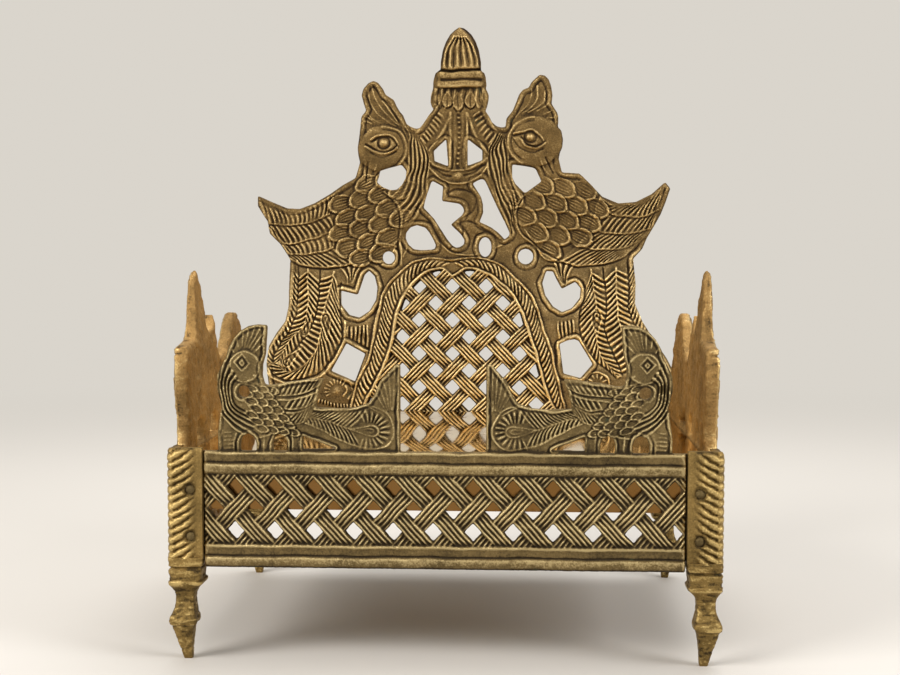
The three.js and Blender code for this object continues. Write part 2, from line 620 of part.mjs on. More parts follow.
// The moulded leg below a post: half widths of its levels and how far they splay out from the post's middle,
// as shares of the post's face, from the ground.
const legLevelShares = [
  { up: 0, half: 0, splay: 0 }, { up: 0.2, half: 0.21, splay: 0.07 }, { up: 0.333, half: 0.31, splay: 0.1 },
  { up: 0.345, half: 0.395, splay: 0.1 }, { up: 0.38, half: 0.4, splay: 0.1 }, { up: 0.45, half: 0.33, splay: 0.08 },
  { up: 0.53, half: 0.27, splay: 0.06 }, { up: 0.63, half: 0.27, splay: 0.05 }, { up: 0.7, half: 0.37, splay: 0.04 },
  { up: 0.745, half: 0.5, splay: 0 }, { up: 0.765, half: 0.5, splay: 0 }, { up: 0.775, half: 0.46, splay: 0.02 },
  { up: 0.88, half: 0.48, splay: 0.02 }, { up: 0.89, half: 0.43, splay: 0 }, { up: 0.905, half: 0.43, splay: 0 },
  { up: 0.915, half: 0.5, splay: 0 }, { up: 1, half: 0.5, splay: 0 },
];
const legSquareness = 0.85;

function legSolid() {
  const positions = [];
  for (const { up, half, splay } of legLevelShares) {
    const centre = postFace / 2 - splay * postFace;
    const reach = Math.max(half * postFace, footTip / 2);
    for (let i = 0; i < legSides; i += 1) {
      const angle = ((i + 0.5) / legSides) * 2 * Math.PI;
      const c = Math.cos(angle);
      const s = Math.sin(angle);
      const r = reach / Math.max(Math.abs(c), Math.abs(s)) ** legSquareness;
      const x = Math.min(Math.max(r * c, -reach), reach);
      const y = Math.min(Math.max(r * s, -reach), reach);
      positions.push(centre + x, centre + y, up * legHeight);
    }
  }
  const last = legLevelShares.length - 1;
  positions.push(postFace / 2, postFace / 2, 0, postFace / 2, postFace / 2, legHeight);
  const bottom = (last + 1) * legSides;
  const index = [];
  for (let i = 0; i < legSides; i += 1) {
    const next = (i + 1) % legSides;
    for (let level = 0; level < last; level += 1) {
      const a = level * legSides + i;
      const b = level * legSides + next;
      index.push(a, b, b + legSides, a, b + legSides, a + legSides);
    }
    index.push(bottom, next, i, bottom + 1, last * legSides + i, last * legSides + next);
  }
  const geometry = new THREE.BufferGeometry();
  geometry.setAttribute("position", new THREE.Float32BufferAttribute(positions, 3));
  geometry.setIndex(index);
  return toSolid(geometry);
}

// The front left post and leg, from its outer corner at the origin towards +x and +y.
function cornerPost() {
  const foot = legHeight - 2 * sink;
  const height = postTop - foot;
  const corner = new THREE.Shape();
  corner.moveTo(ropeDepth, ropeDepth);
  corner.lineTo(postFace, ropeDepth);
  corner.lineTo(postFace, postWall);
  corner.lineTo(postWall, postWall);
  corner.lineTo(postWall, postFace);
  corner.lineTo(ropeDepth, postFace);
  const flanges = slab(corner, foot, foot + height);
  const front = ropeSolid(postFace).rotate([90, 0, 0]).translate([0, ropeDepth, 0]);
  const side = ropeSolid(postFace - ropeDepth + sink)
    .rotate([90, 0, 0])
    .translate([ropeDepth - sink, ropeDepth + layerStep, 0])
    .transform([0, 1, 0, 0, 1, 0, 0, 0, 0, 0, 1, 0, 0, 0, 0, 1]);
  const bores = [];
  for (const z of [lowerRivet, upperRivet]) {
    const bore = toSolid(new THREE.CylinderGeometry(shankRadius + fit, shankRadius + fit, 4 * postWall, rivetSides));
    const seat = toSolid(new THREE.CylinderGeometry(headRadius + fit, headRadius + fit, 2 * ropeDepth, rivetSides));
    bores.push(bore.translate([rivetInset, 0, z]), seat.translate([rivetInset, 0, z]));
    bores.push(bore.rotate([0, 0, 90]).translate([0, sideRivetInset, z]));
    bores.push(seat.rotate([0, 0, 90]).translate([0, sideRivetInset, z]));
  }
  return flanges.add(front).add(side).add(legSolid()).subtract(joined(bores));
}

// The seat sheet, with a fold at its front and rear.
function seatSolid() {
  const reach = halfDepth - postWall - fit - tabThickness - fit;
  const halfSeat = halfWidth - postWall - fit - tabThickness - fit;
  const top = block(-halfSeat, -reach, seatTop - sheetThickness, 2 * halfSeat, 2 * reach, sheetThickness);
  const folds = [-reach, reach - sheetThickness].map((y) =>
    block(-foldHalfWidth, y, seatTop - foldHeight, 2 * foldHalfWidth, sheetThickness, foldHeight),
  );
  return top.add(joined(folds));
}

// A rivet along +Y: a domed head at the outside, its shank through flange and tab, and a peened tail.
function rivetSolid() {
  const grip = flangeThickness + fit + tabThickness + 2 * fit;
  const profile = [
    [0, -headHeight], [headRadius * domeShare, -headHeight * domeShare], [headRadius, 0], [shankRadius, 0],
    [shankRadius, grip], [headRadius, grip], [0, grip + tailHeight],
  ].map(([r, y]) => new THREE.Vector2(r, y));
  return toSolid(new THREE.LatheGeometry(profile, rivetSides)).translate([0, ropeDepth - fit, 0]);
}

const throne = new THREE.Group();

const front = toMesh("front_panel", frontPanel(), castBrass);
front.rotation.x = Math.PI / 2;
front.position.y = -halfDepth + postWall + fit + tabThickness;
throne.add(front);

const back = toMesh("back_panel", backPanel(), castBrass);
back.rotation.x = Math.PI / 2;
back.position.y = halfDepth - postWall - fit - tabThickness + panelThickness;
throne.add(back);

const sideInner = halfWidth - postWall - fit - tabThickness;
const side = sidePanel();
for (const [name, sign] of [["left_side_panel", -1], ["right_side_panel", 1]]) {
  const group = new THREE.Group();
  group.rotation.z = sign * Math.PI / 2;
  const panel = toMesh(name, sign < 0 ? side.mirror([1, 0, 0]) : side, castBrass);
  panel.rotation.x = Math.PI / 2;
  panel.position.y = -sideInner;
  group.add(panel);
  throne.add(group);
}

const post = cornerPost();
const rivet = rivetSolid();
const corners = [
  ["front_left", -1, -1],
  ["front_right", 1, -1],
  ["rear_left", -1, 1],
  ["rear_right", 1, 1],
];
for (const [name, sx, sy] of corners) {
  let solid = post;
  if (sx > 0) solid = solid.mirror([1, 0, 0]);
  if (sy > 0) solid = solid.mirror([0, 1, 0]);
  const mesh = toMesh(`${name}_leg`, solid, wornBrass);
  mesh.position.set(sx * halfWidth, sy * halfDepth, 0);
  throne.add(mesh);
  for (const [level, z] of [["upper", upperRivet], ["lower", lowerRivet]]) {
    const end = toMesh(`${name}_end_rivet_${level}`, rivet, rivetBrass);
    end.position.set(sx * (halfWidth - rivetInset), sy * halfDepth, z);
    end.rotation.z = sy < 0 ? 0 : Math.PI;
    throne.add(end);
    const flank = toMesh(`${name}_side_rivet_${level}`, rivet, rivetBrass);
    flank.position.set(sx * halfWidth, sy * (halfDepth - sideRivetInset), z);
    flank.rotation.z = sx < 0 ? -Math.PI / 2 : Math.PI / 2;
    throne.add(flank);
  }
}

throne.add(toMesh("seat_plate", seatSolid(), sheetBrass));

export default throne;
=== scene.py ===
import math

import bmesh
import bpy
import numpy as np
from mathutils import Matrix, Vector


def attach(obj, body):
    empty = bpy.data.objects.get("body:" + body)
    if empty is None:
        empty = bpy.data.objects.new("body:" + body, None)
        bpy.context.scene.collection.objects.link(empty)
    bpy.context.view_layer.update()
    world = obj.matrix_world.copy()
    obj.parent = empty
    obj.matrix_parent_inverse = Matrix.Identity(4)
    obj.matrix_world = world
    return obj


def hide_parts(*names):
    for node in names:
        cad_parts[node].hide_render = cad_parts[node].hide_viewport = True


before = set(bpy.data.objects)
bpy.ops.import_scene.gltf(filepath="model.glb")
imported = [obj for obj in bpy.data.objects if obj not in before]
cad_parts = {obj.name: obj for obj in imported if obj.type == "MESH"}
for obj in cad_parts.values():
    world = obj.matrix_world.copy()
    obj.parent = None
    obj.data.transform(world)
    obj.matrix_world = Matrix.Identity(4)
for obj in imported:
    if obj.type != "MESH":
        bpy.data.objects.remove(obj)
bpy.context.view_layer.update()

# The camera. It stands where the photograph was taken from: a little right of the throne's middle,
# about 385 mm in front of the front panel and level with the middle of the back, turned slightly left.
photo_width = 900
focal_in_pixels = 1362
camera_place = Vector((0.0227, -0.4433, 0.1180))
camera_yaw = math.radians(3.06)
camera_pitch = math.radians(-3.47)

camera_data = bpy.data.cameras.new("photo_view")
camera_data.sensor_width = 36
camera_data.lens = focal_in_pixels / photo_width * camera_data.sensor_width
camera_data.clip_start = 0.01
camera = bpy.data.objects.new("photo_view", camera_data)
camera.location = camera_place
camera.rotation_euler = (math.pi / 2 + camera_pitch, 0, camera_yaw)
bpy.context.scene.collection.objects.link(camera)
bpy.context.scene.camera = camera
bpy.context.scene.view_settings.view_transform = "Standard"


# The floor and the light. A plain pale table runs into a pale wall, and big soft lamps stand in front
# and above, as in a small photo studio. None of it belongs to the throne.
floor_reach = 3.0
floor_fade_from = 0.22
floor_fade_to = 0.85
floor_colour = (0.70, 0.67, 0.63, 1)
wall_colour = (0.700, 0.664, 0.604, 1)
fill_strength = 0.55
lamp_target = Vector((0, 0, 0.09))


class Wire:
    """A shader socket for use in sums: each operator on it adds the Math node that works it out."""

    def __init__(self, tree, socket=None):
        self.tree = tree
        self.socket = socket

    def node(self, kind, settings=None, values=None, output=0):
        """A new node: its settings first, then its sockets' values or links. Returns one output."""
        made = self.tree.nodes.new(kind)
        for name, value in (settings or {}).items():
            setattr(made, name, value)
        for name, value in (values or {}).items():
            if isinstance(value, Wire):
                self.tree.links.new(value.socket, made.inputs[name])
            else:
                made.inputs[name].default_value = value
        return Wire(self.tree, made.outputs[output])

    def math(self, operation, *values):
        return self.node("ShaderNodeMath", {"operation": operation}, dict(enumerate(values)))

    def __add__(self, other):
        return self.math("ADD", self, other)

    def __sub__(self, other):
        return self.math("SUBTRACT", self, other)

    def __mul__(self, other):
        return self.math("MULTIPLY", self, other)

    def __rsub__(self, other):
        return self.math("SUBTRACT", other, self)

    __radd__ = __add__
    __rmul__ = __mul__

    def smooth(self, low, high):
        """0 below low and 1 above high, with a smooth step between."""
        return self.node(
            "ShaderNodeMapRange",
            {"interpolation_type": "SMOOTHSTEP"},
            {"Value": self, "From Min": low, "From Max": high},
        )

    def mix(self, first, second):
        """A colour from first, where this is 0, to second, where this is 1."""
        return self.node(
            "ShaderNodeMix", {"data_type": "RGBA"}, {0: self, 6: first, 7: second}, output=2
        )

    def noise(self, place, scale, detail=2.0, roughness=0.5):
        values = {"Vector": place, "Scale": scale, "Detail": detail, "Roughness": roughness}
        return self.node("ShaderNodeTexNoise", None, values)


def new_material(name):
    """An empty material and a wire to build its nodes with."""
    material = bpy.data.materials.new(name)
    material.use_nodes = True
    material.node_tree.nodes.clear()
    return material, Wire(material.node_tree)


def finish_material(wire, shader):
    output = wire.tree.nodes.new("ShaderNodeOutputMaterial")
    wire.tree.links.new(shader.socket, output.inputs["Surface"])


def new_object(name, mesh, material):
    obj = bpy.data.objects.new(name, mesh)
    bpy.context.scene.collection.objects.link(obj)
    mesh.materials.append(material)
    return obj


def shade(colour, factor):
    """The colour made darker or lighter."""
    return tuple(factor * c for c in colour[:3]) + (1,)


def seen_rays(wire):
    """1 for camera, glossy and transmission rays, which see the pale backdrop, and 0 for the rest."""
    kinds = ("Camera", "Glossy", "Transmission")
    rays = [wire.node("ShaderNodeLightPath", output=f"Is {kind} Ray") for kind in kinds]
    return (rays[0] + rays[1] + rays[2]).smooth(0, 1)


table_material, wire = new_material("pale_table")
place = wire.node("ShaderNodeTexCoord", output="Object")
mottle = wire.noise(place, 3.0, 4.0)
pale = mottle.mix(shade(floor_colour, 0.97), floor_colour)
near = wire.node("ShaderNodeBsdfPrincipled", None, {"Base Color": pale, "Roughness": 0.6})
far = wire.node("ShaderNodeEmission", None, {"Color": wall_colour, "Strength": 1.0})
away = wire.node("ShaderNodeVectorMath", {"operation": "LENGTH"}, {0: place}, output="Value")
blend = away.smooth(floor_fade_from, floor_fade_to) * seen_rays(wire)
finish_material(wire, wire.node("ShaderNodeMixShader", None, {0: blend, 1: near, 2: far}))
floor_mesh = bpy.data.meshes.new("pale_table")
corners = [(-1, -1), (1, -1), (1, 1), (-1, 1)]
floor_mesh.from_pydata([(x * floor_reach, y * floor_reach, 0) for x, y in corners], [], [(0, 1, 2, 3)])
new_object("pale_table", floor_mesh, table_material)

world = bpy.data.worlds.new("studio")
bpy.context.scene.world = world
world.use_nodes = True
world.node_tree.nodes.clear()
wire = Wire(world.node_tree)
strength = seen_rays(wire) * (1 - fill_strength) + fill_strength
backdrop = wire.node("ShaderNodeBackground", None, {"Color": wall_colour, "Strength": strength})
world_output = world.node_tree.nodes.new("ShaderNodeOutputWorld")
world.node_tree.links.new(backdrop.socket, world_output.inputs["Surface"])


def soft_lamp(name, at, size, power, colour=(1, 1, 1)):
    """A square area lamp that faces the middle of the throne."""
    lamp = bpy.data.lights.new(name, "AREA")
    lamp.size = size
    lamp.energy = power
    lamp.color = colour
    obj = bpy.data.objects.new(name, lamp)
    obj.location = at
    obj.rotation_euler = (lamp_target - Vector(at)).to_track_quat("-Z", "Y").to_euler()
    bpy.context.scene.collection.objects.link(obj)


soft_lamp("window_left", (-0.75, -0.55, 0.65), 0.5, 9.0, (1.0, 0.98, 0.95))
soft_lamp("window_right", (0.80, -0.35, 0.50), 0.4, 5.0)
soft_lamp("ceiling", (0.1, 0.25, 1.0), 0.7, 6.0)


# The front panel. A flat lost-wax casting in brass: two moulded rails, a woven lattice between them,
# and two peacocks with fanned tails on top. Its thin ends are riveted behind the post flanges.
panel_bottom = 27.4
rail_top = 61.4
top_rail = 6.8
bottom_rail = 6.9
panel_thickness = 3.6
tab_level = 1.6
front_half = 69.3
front_level = 2.5
lattice_step = (5.75, 6.3)
lattice_middle = 44.45
lattice_margin = 0.3
front_hole = 3.56
lattice_level = 2.55
strand_lift = 0.36
strand_ridge = 0.85
hole_share = 0.455
mm = 0.001
fine_pitch = 0.22
front_faces = 260000
cut_waver = 0.14
border_rise = 0.42
front_bird_start = 65.5
front_bird_foot = 61.0
front_bird_length = 53.1
front_bird_height = 37.0
dark_olive = (0.040, 0.027, 0.013, 1)
olive_brass = (0.180, 0.128, 0.056, 1)
pale_brass = (0.55, 0.43, 0.215, 1)
# A pale brass painted over the lower parts, most of all on their ridges: a painted highlight.
low_highlight_brass = (0.90, 0.69, 0.35, 1)
verdigris = (0.10, 0.14, 0.08, 1)


def curve(points, step=0.12):
    """A smooth line through the points, with a point every step or so."""
    given = np.asarray(points, float)
    ends = np.vstack([2 * given[0] - given[1], given, 2 * given[-1] - given[-2]])
    parts = []
    for k in range(1, len(ends) - 2):
        before, a, b, after = ends[k - 1 : k + 3]
        count = max(2, int(np.hypot(*(b - a)) / step) + 1)
        t = np.linspace(0, 1, count, endpoint=False)[:, None]
        parts.append(
            0.5 * (2 * a + (b - before) * t + (2 * before - 5 * a + 4 * b - after) * t**2
                   + (3 * a - before - 3 * b + after) * t**3)
        )
    return np.vstack(parts + [given[-1:]])


def spaced(line, shares):
    """The points at these shares of a line's length."""
    steps = np.hypot(*np.diff(line, axis=0).T)
    along = np.concatenate([[0], np.cumsum(steps)]) / steps.sum()
    return np.stack([np.interp(shares, along, line[:, k]) for k in (0, 1)], axis=-1)


def line_length(line):
    return np.hypot(*np.diff(line, axis=0).T).sum()


def store_relief(mesh, values):
    """Stores at each vertex how far it stands out of the relief around it, in millimetres."""
    attribute = mesh.attributes.new("relief", "FLOAT", "POINT")
    attribute.data.foreach_set("value", values.astype(np.float32))


def shade_smooth(mesh, angle):
    """Shades the mesh smooth, apart from the edges that turn by more than this many degrees."""
    mesh.polygons.foreach_set("use_smooth", np.ones(len(mesh.polygons), bool))
    mesh.set_sharp_from_angle(angle=math.radians(angle))


class Casting:
    """A flat casting on a fine grid over one CAD panel, in millimetres: across and up, and its height
    towards the viewer from the panel's back. Its outline and holes are those of the CAD panel."""

    def __init__(self, node, across, deep, side, pitch):
        self.pitch = pitch
        self.across, self.deep, self.side = across, deep, side
        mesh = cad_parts[node].data
        mesh.calc_loop_triangles()
        places = np.empty(len(mesh.vertices) * 3)
        mesh.vertices.foreach_get("co", places)
        places = places.reshape(-1, 3) / mm
        corners = np.empty(len(mesh.loop_triangles) * 3, np.int32)
        mesh.loop_triangles.foreach_get("vertices", corners)
        flat = np.stack([places[:, across], places[:, 2], side * places[:, deep]], axis=-1)
        triangles = flat[corners.reshape(-1, 3)]
        self.limits = flat[:, :2].min(0) + 0.02, flat[:, :2].max(0) - 0.02
        margin = 12 * pitch
        self.low = flat[:, :2].min(0) - margin
        size = np.ceil((flat[:, :2].max(0) + margin - self.low) / pitch).astype(int) + 1
        self.shape = (size[1], size[0])
        places_x = self.low[0] + pitch * np.arange(size[0])
        places_z = self.low[1] + pitch * np.arange(size[1])
        self.x, self.z = np.meshgrid(places_x, places_z)
        self.back = self.back_depth(triangles)
        self.cover = self.blur(self.shadow(triangles), 0.28)
        self.level = np.zeros(self.shape)
        self.rear = np.zeros(self.shape)
        self.ridges = np.zeros(self.shape)
        self.grooves = np.zeros(self.shape)
        self.freehand = np.ones(self.shape)
        self.edge = self.edge_distance()

    def back_depth(self, triangles):
        """The depth that most of the panel's flat back lies at."""
        a, b, c = triangles[:, 0], triangles[:, 1], triangles[:, 2]
        normal = np.cross(b - a, c - a)
        area = np.abs(normal[:, 2])
        flat = area > 0.98 * np.linalg.norm(normal, axis=1) + 1e-9
        depth = triangles[flat, :, 2].mean(1)
        places, index = np.unique(np.round(depth, 1), return_inverse=True)
        weight = np.bincount(index, area[flat])
        return places[weight > 0.15 * weight.max()].min()

    def shadow(self, triangles):
        """How much of each grid square the panel covers, seen square on."""
        fine = 2
        rows, columns = self.shape[0] * fine, self.shape[1] * fine
        covered = np.zeros((rows, columns), bool)
        scale = fine / self.pitch
        for corners in (triangles[:, :, :2] - self.low) * scale + (fine - 1) / 2:
            (ax, ay), (bx, by), (cx, cy) = corners
            area = (bx - ax) * (cy - ay) - (by - ay) * (cx - ax)
            if abs(area) < 1e-9:
                continue
            x0, y0 = np.maximum(np.floor(corners.min(0)).astype(int), 0)
            x1, y1 = np.ceil(corners.max(0)).astype(int) + 1
            px = np.arange(x0, min(x1, columns))[None, :]
            py = np.arange(y0, min(y1, rows))[:, None]
            u = ((px - ax) * (cy - ay) - (py - ay) * (cx - ax)) / area
            v = ((bx - ax) * (py - ay) - (by - ay) * (px - ax)) / area
            covered[y0:min(y1, rows), x0:min(x1, columns)] |= (u >= 0) & (v >= 0) & (u + v <= 1)
        squares = covered.reshape(self.shape[0], fine, self.shape[1], fine)
        return squares.mean(axis=(1, 3))

    def blur(self, values, radius):
        """The values with everything finer than the radius smoothed away."""
        up = np.fft.fftfreq(self.shape[0], self.pitch)[:, None]
        over = np.fft.rfftfreq(self.shape[1], self.pitch)[None, :]
        keep = np.exp(-2 * (math.pi * radius) ** 2 * (up**2 + over**2))
        return np.fft.irfft2(np.fft.rfft2(values) * keep, s=self.shape)

    def edge_distance(self, reach=3.0):
        """How far each place inside the outline is from the nearest edge."""
        far = np.where(self.cover > 0.5, reach, 0.0)
        for _ in range(int(reach / self.pitch) + 1):
            for up, over in ((0, 1), (1, 0), (0, -1), (-1, 0), (1, 1), (1, -1), (-1, 1), (-1, -1)):
                step = self.pitch * math.hypot(up, over)
                far = np.minimum(far, np.roll(far, (up, over), (0, 1)) + step)
        return self.blur(far, 0.15)

    def area(self, points):
        """The places inside a closed outline."""
        outline = np.asarray(points, float)
        inside = np.zeros(self.shape, bool)
        for (ax, az), (bx, bz) in zip(outline, np.roll(outline, -1, axis=0)):
            if az == bz:
                continue
            rows = (self.z[:, 0] > min(az, bz)) & (self.z[:, 0] <= max(az, bz))
            crossing = ax + (self.z[rows] - az) / (bz - az) * (bx - ax)
            inside[rows] ^= self.x[rows] > crossing
        return inside

    def press(self, points, width, height, within=None):
        """A rounded ridge along the points, or a groove where the height is below 0."""
        points = np.asarray(points, float).reshape(-1, 2)
        width = np.broadcast_to(width, len(points)).astype(float)
        height = np.broadcast_to(height, len(points)).astype(float)
        grid = (points - self.low) / self.pitch
        reach = int(np.ceil(width.max() / self.pitch)) + 1
        span = np.arange(-reach, reach + 1)
        over, up = (m.ravel() for m in np.meshgrid(span, span))
        column = np.round(grid[:, :1]).astype(int) + over
        row = np.round(grid[:, 1:]).astype(int) + up
        away = np.hypot(column - grid[:, :1], row - grid[:, 1:]) * self.pitch / width[:, None]
        value = height[:, None] * np.cos(np.minimum(away, 1) * math.pi / 2) ** 2
        keep = (away < 1) & (row >= 0) & (row < self.shape[0])
        keep &= (column >= 0) & (column < self.shape[1])
        if within is not None:
            keep[keep] &= within[row[keep], column[keep]]
        target, worst = (self.ridges, np.maximum) if height.max() > 0 else (self.grooves, np.minimum)
        worst.at(target, (row[keep], column[keep]), value[keep])

    def line(self, points, width=0.45, height=0.4):
        self.press(curve(points, self.pitch / 2), width, height)

    def hatch(self, low, high, every, lean, bow, width, height):
        """Ridges from one line across to another, evenly spaced, each leaning along the lines."""
        low, high = curve(low), curve(high)
        length = line_length(low)
        count = max(2, int(round(length / every)))
        start = (np.arange(count) + 0.5) / count
        end = np.clip(start + lean / length, 0, 1)
        a, b = spaced(low, start), spaced(high, end)
        middle = spaced(low, np.clip(start + bow / length, 0, 1)) - a
        steps = max(4, int(np.hypot(*(b - a).T).max() / (self.pitch / 2)))
        t = np.linspace(0, 1, steps)[None, :, None]
        strokes = a[:, None] * (1 - t) + b[:, None] * t + middle[:, None] * 4 * t * (1 - t) / 2
        taper = np.broadcast_to(0.45 + 0.55 * np.sin(math.pi * t[..., 0]) ** 0.6, strokes.shape[:2])
        self.press(strokes, width * taper.ravel(), height * taper.ravel())
        gaps = (strokes[1:] + strokes[:-1]) / 2
        self.press(gaps, 0.75 * width, -0.7 * height * taper[1:].ravel())

    def fan(self, centre, ends, gap, width, height):
        """Ridges that spread from a centre, starting a gap away from it."""
        centre = np.asarray(centre, float)
        for end in np.asarray(ends, float):
            reach = np.hypot(*(end - centre))
            start = centre + (end - centre) * min(0.8, gap / reach)
            t = np.linspace(0, 1, max(4, int(reach / (self.pitch / 2))))[:, None]
            self.press(start * (1 - t) + end * t, width * (0.5 + 0.5 * t[:, 0]), height)

    def ring(self, centre, radius, width, height):
        turn = np.linspace(0, 2 * math.pi, max(16, int(radius * 60)))
        around = np.stack([np.cos(turn) * radius, np.sin(turn) * radius], axis=-1)
        self.press(np.asarray(centre) + around, width, height)

    def drop(self, tail, end, half, width, height):
        """A teardrop: a rim that starts at a point and swells round its other end."""
        t = np.linspace(0, 2 * math.pi, 120)
        along = (1 - np.cos(t)) / 2
        side = np.array([-(end - tail)[1], (end - tail)[0]]) / np.hypot(*(end - tail))
        rim = tail + (end - tail) * along[:, None]
        rim = rim + side * (half * np.sin(t) * along)[:, None] * 1.3
        self.press(rim, width, height)

    def leaf(self, base, tip, half, veins, lift, rim=0.42):
        """A scale of plumage, over those drawn before it: raised towards its round tip, with a rim, and
        veins that fan from its base."""
        ahead = tip - base
        side = np.array([-ahead[1], ahead[0]]) / np.hypot(*ahead)
        t = np.linspace(0, 1, 60)[:, None]
        bulge = half * np.sin(math.pi * t**1.35) ** 0.7
        left = base + ahead * t + side * bulge
        right = base + ahead * t - side * bulge
        inside = self.area(np.vstack([left, right[::-1]]))
        swell = ((self.x - base[0]) * ahead[0] + (self.z - base[1]) * ahead[1]) / (ahead @ ahead)
        self.level[inside] += lift * np.clip(swell, 0, 1)[inside]
        self.ridges[inside] = 0
        self.grooves[inside] = 0
        self.press(np.vstack([left, right]), 0.36, rim)
        self.press(np.vstack([left, right]) + ahead * 0.09, 0.36, -0.45, ~inside)
        for k in range(veins):
            out = (k - (veins - 1) / 2) / veins * 1.5
            vein = base + ahead * t * 0.92 + side * bulge * out
            self.press(vein[16:58], 0.30, -0.45, inside)

    def rim(self, strength, where, at=0.50):
        """A rounded border with a groove inside it, all along the edges in the given area."""
        bump = np.cos(np.clip((self.edge - at) / at, -1, 1) * math.pi / 2) ** 2
        dip = np.cos(np.clip((self.edge - 2 * at - 0.2) / 0.42, -1, 1) * math.pi / 2) ** 2
        inside = (self.cover > 0.3) & where
        self.ridges = np.maximum(self.ridges, np.where(inside, strength * bump, 0))
        self.grooves = np.minimum(self.grooves, np.where(inside, -0.8 * strength * dip, 0))

    def weave(self, where, step_x, step_z, middle, hole):
        """A basket weave of four-ridged strands between diamond holes. On even rows the strands that
        rise to the right lie on top, and on odd rows those that fall to the right do."""
        spacing = 2 * step_x * step_z / math.hypot(step_x, step_z)
        width = spacing - hole
        dx = (self.x - step_x / 2) / step_x
        dz = (self.z - middle) / step_z
        over = np.cos(math.pi * dz)
        height = np.full(self.shape, lattice_level - 0.75)
        for place, top in (((dx - dz) / 2, over), ((dx + dz) / 2, -over)):
            away = (place - np.floor(place) - 0.5) * spacing / width
            lift = np.clip(1.8 * top, -1, 1)
            strand = lattice_level + strand_lift * lift
            off_crest = 2 * np.abs(4 * away - np.round(4 * away + 0.5) + 0.5)
            strand += strand_ridge * ((1 - np.clip(off_crest, 0, 1)) ** 1.35 - 0.42)
            strand -= 0.10 * (2 * away) ** 6
            height = np.where(np.abs(away) < 0.5, np.maximum(height, strand), height)
        self.level = np.where(where, height, self.level)
        self.freehand[where] = 0.45
        off = [place - np.round(place) for place in ((dx - dz) / 2, (dx + dz) / 2)]
        open_hole = 2 * np.maximum(*np.abs(off)) < hole_share
        open_hole &= self.blur(1.0 * where, 0.6) > 0.85
        self.cover = np.where(where, self.blur(1.0 - open_hole, 0.22), self.cover)

    def rail(self, bottom, height):
        """The level of a rail: a full roll along its lower half, and a flatter one with a lip above it."""
        on_rail = (self.z >= bottom) & (self.z <= bottom + height)
        share = (self.z - bottom) / height + 0.012 * np.sin(self.x / 5.3) + 0.008 * np.sin(self.x / 2.1)
        sunk = np.interp(
            share, [0.0, 0.05, 0.14, 0.28, 0.42, 0.49, 0.53, 0.58, 0.66, 0.78, 0.86, 0.91, 0.96, 1.0],
            [1.2, 0.75, 0.28, 0.03, 0.0, 0.40, 1.0, 0.58, 0.55, 0.48, 0.36, 0.03, 0.0, 0.6],
        )
        self.level = np.where(on_rail, panel_thickness - sunk, self.level)
        self.freehand[on_rail] = 0.2
        on_roll = np.clip(1.6 - 3.2 * np.abs(share - 0.32), 0, 1)
        beaten = self.lumps(np.random.default_rng(7), 0.45) * on_roll
        self.level += np.where(on_rail, 0.035 * beaten, 0)

    def apron(self, half):
        """The panel under the birds: a lattice between two rails, and thin tabs beyond half its width.
        Returns where the lattice lies."""
        within = np.abs(self.x) < half
        lattice = (self.z > panel_bottom + bottom_rail - lattice_margin) & within
        lattice &= self.z < rail_top - top_rail + lattice_margin
        self.weave(lattice, *lattice_step, lattice_middle, front_hole)
        self.rail(rail_top - top_rail, top_rail)
        self.rail(panel_bottom, bottom_rail)
        self.level = np.where((self.z < rail_top) & ~within, tab_level, self.level)
        return lattice

    def finish(self, name, seed, faces, roughness=0.035, rear_roughness=0.05, turn=(0.45, 0.55)):
        """The mesh: the relief in front, the back, which is slightly sunk behind raised forms, and the
        walls between, thinned to a face count. The edges turn over by the first of turn within the second
        of it. The relief is cut by hand, so its lines waver a little and are not equally deep."""
        random = np.random.default_rng(seed)
        depth = np.clip(1 + 0.22 * self.lumps(random, 1.3), 0.45, 1.5)
        sharp = (self.ridges - 0.7 * self.blur(self.ridges, 0.6) + self.grooves) * depth
        height = self.blur(self.level, 0.10) + self.blur(sharp, 0.08)
        freedom = cut_waver * self.blur(self.freehand, 0.5)
        waver = [freedom * self.lumps(random, 1.4) for _ in range(2)]
        places = np.stack([self.x + waver[0], self.z + waver[1]], axis=-1)
        height = self.sample(height, places.reshape(-1, 2)).reshape(self.shape)
        height += roughness * self.lumps(random, 1.1)
        self.rear = self.rear + rear_roughness * (self.lumps(random, 0.6) + self.lumps(random, 2.0))
        turn_over = turn[0] * (1 - np.clip(self.edge / turn[1], 0, 1)) ** 2
        smooth, broad = (
            self.blur(height * self.cover, radius) / np.clip(self.blur(self.cover, radius), 0.05, None)
            for radius in (0.75, 3.0)
        )
        sunk = 0.6 * np.clip(self.blur(height, 0.35) - broad, 0, 0.7)
        self.rear = np.where(self.rear < 1.2, self.rear + sunk, self.rear)
        # The cavity, stored as the relief, is what the material paints dark in hollows and pale on ridges:
        # patina and painted shade, wear and painted highlight.
        self.cavity = 1.25 * (height - smooth) * (self.cover > 0.4)
        self.rear_cavity = 0.35 * (self.blur(self.rear, 0.9) - self.rear)
        self.front = height - turn_over
        back = self.rear + 0.7 * turn_over
        return self.mesh(name, self.front, back, faces)

    def lumps(self, random, radius):
        """Seeded unevenness of about one, with lumps of the given size."""
        noise = self.blur(random.standard_normal(self.shape), radius)
        return noise / noise.std()

    def sample(self, values, points):
        """The values at points between the grid's own."""
        grid = (points - self.low) / self.pitch
        column = np.clip(grid[:, 0], 0, self.shape[1] - 1.001)
        row = np.clip(grid[:, 1], 0, self.shape[0] - 1.001)
        c, r = column.astype(int), row.astype(int)
        u, v = column - c, row - r
        low = values[r, c] * (1 - u) + values[r, c + 1] * u
        high = values[r + 1, c] * (1 - u) + values[r + 1, c + 1] * u
        return low * (1 - v) + high * v

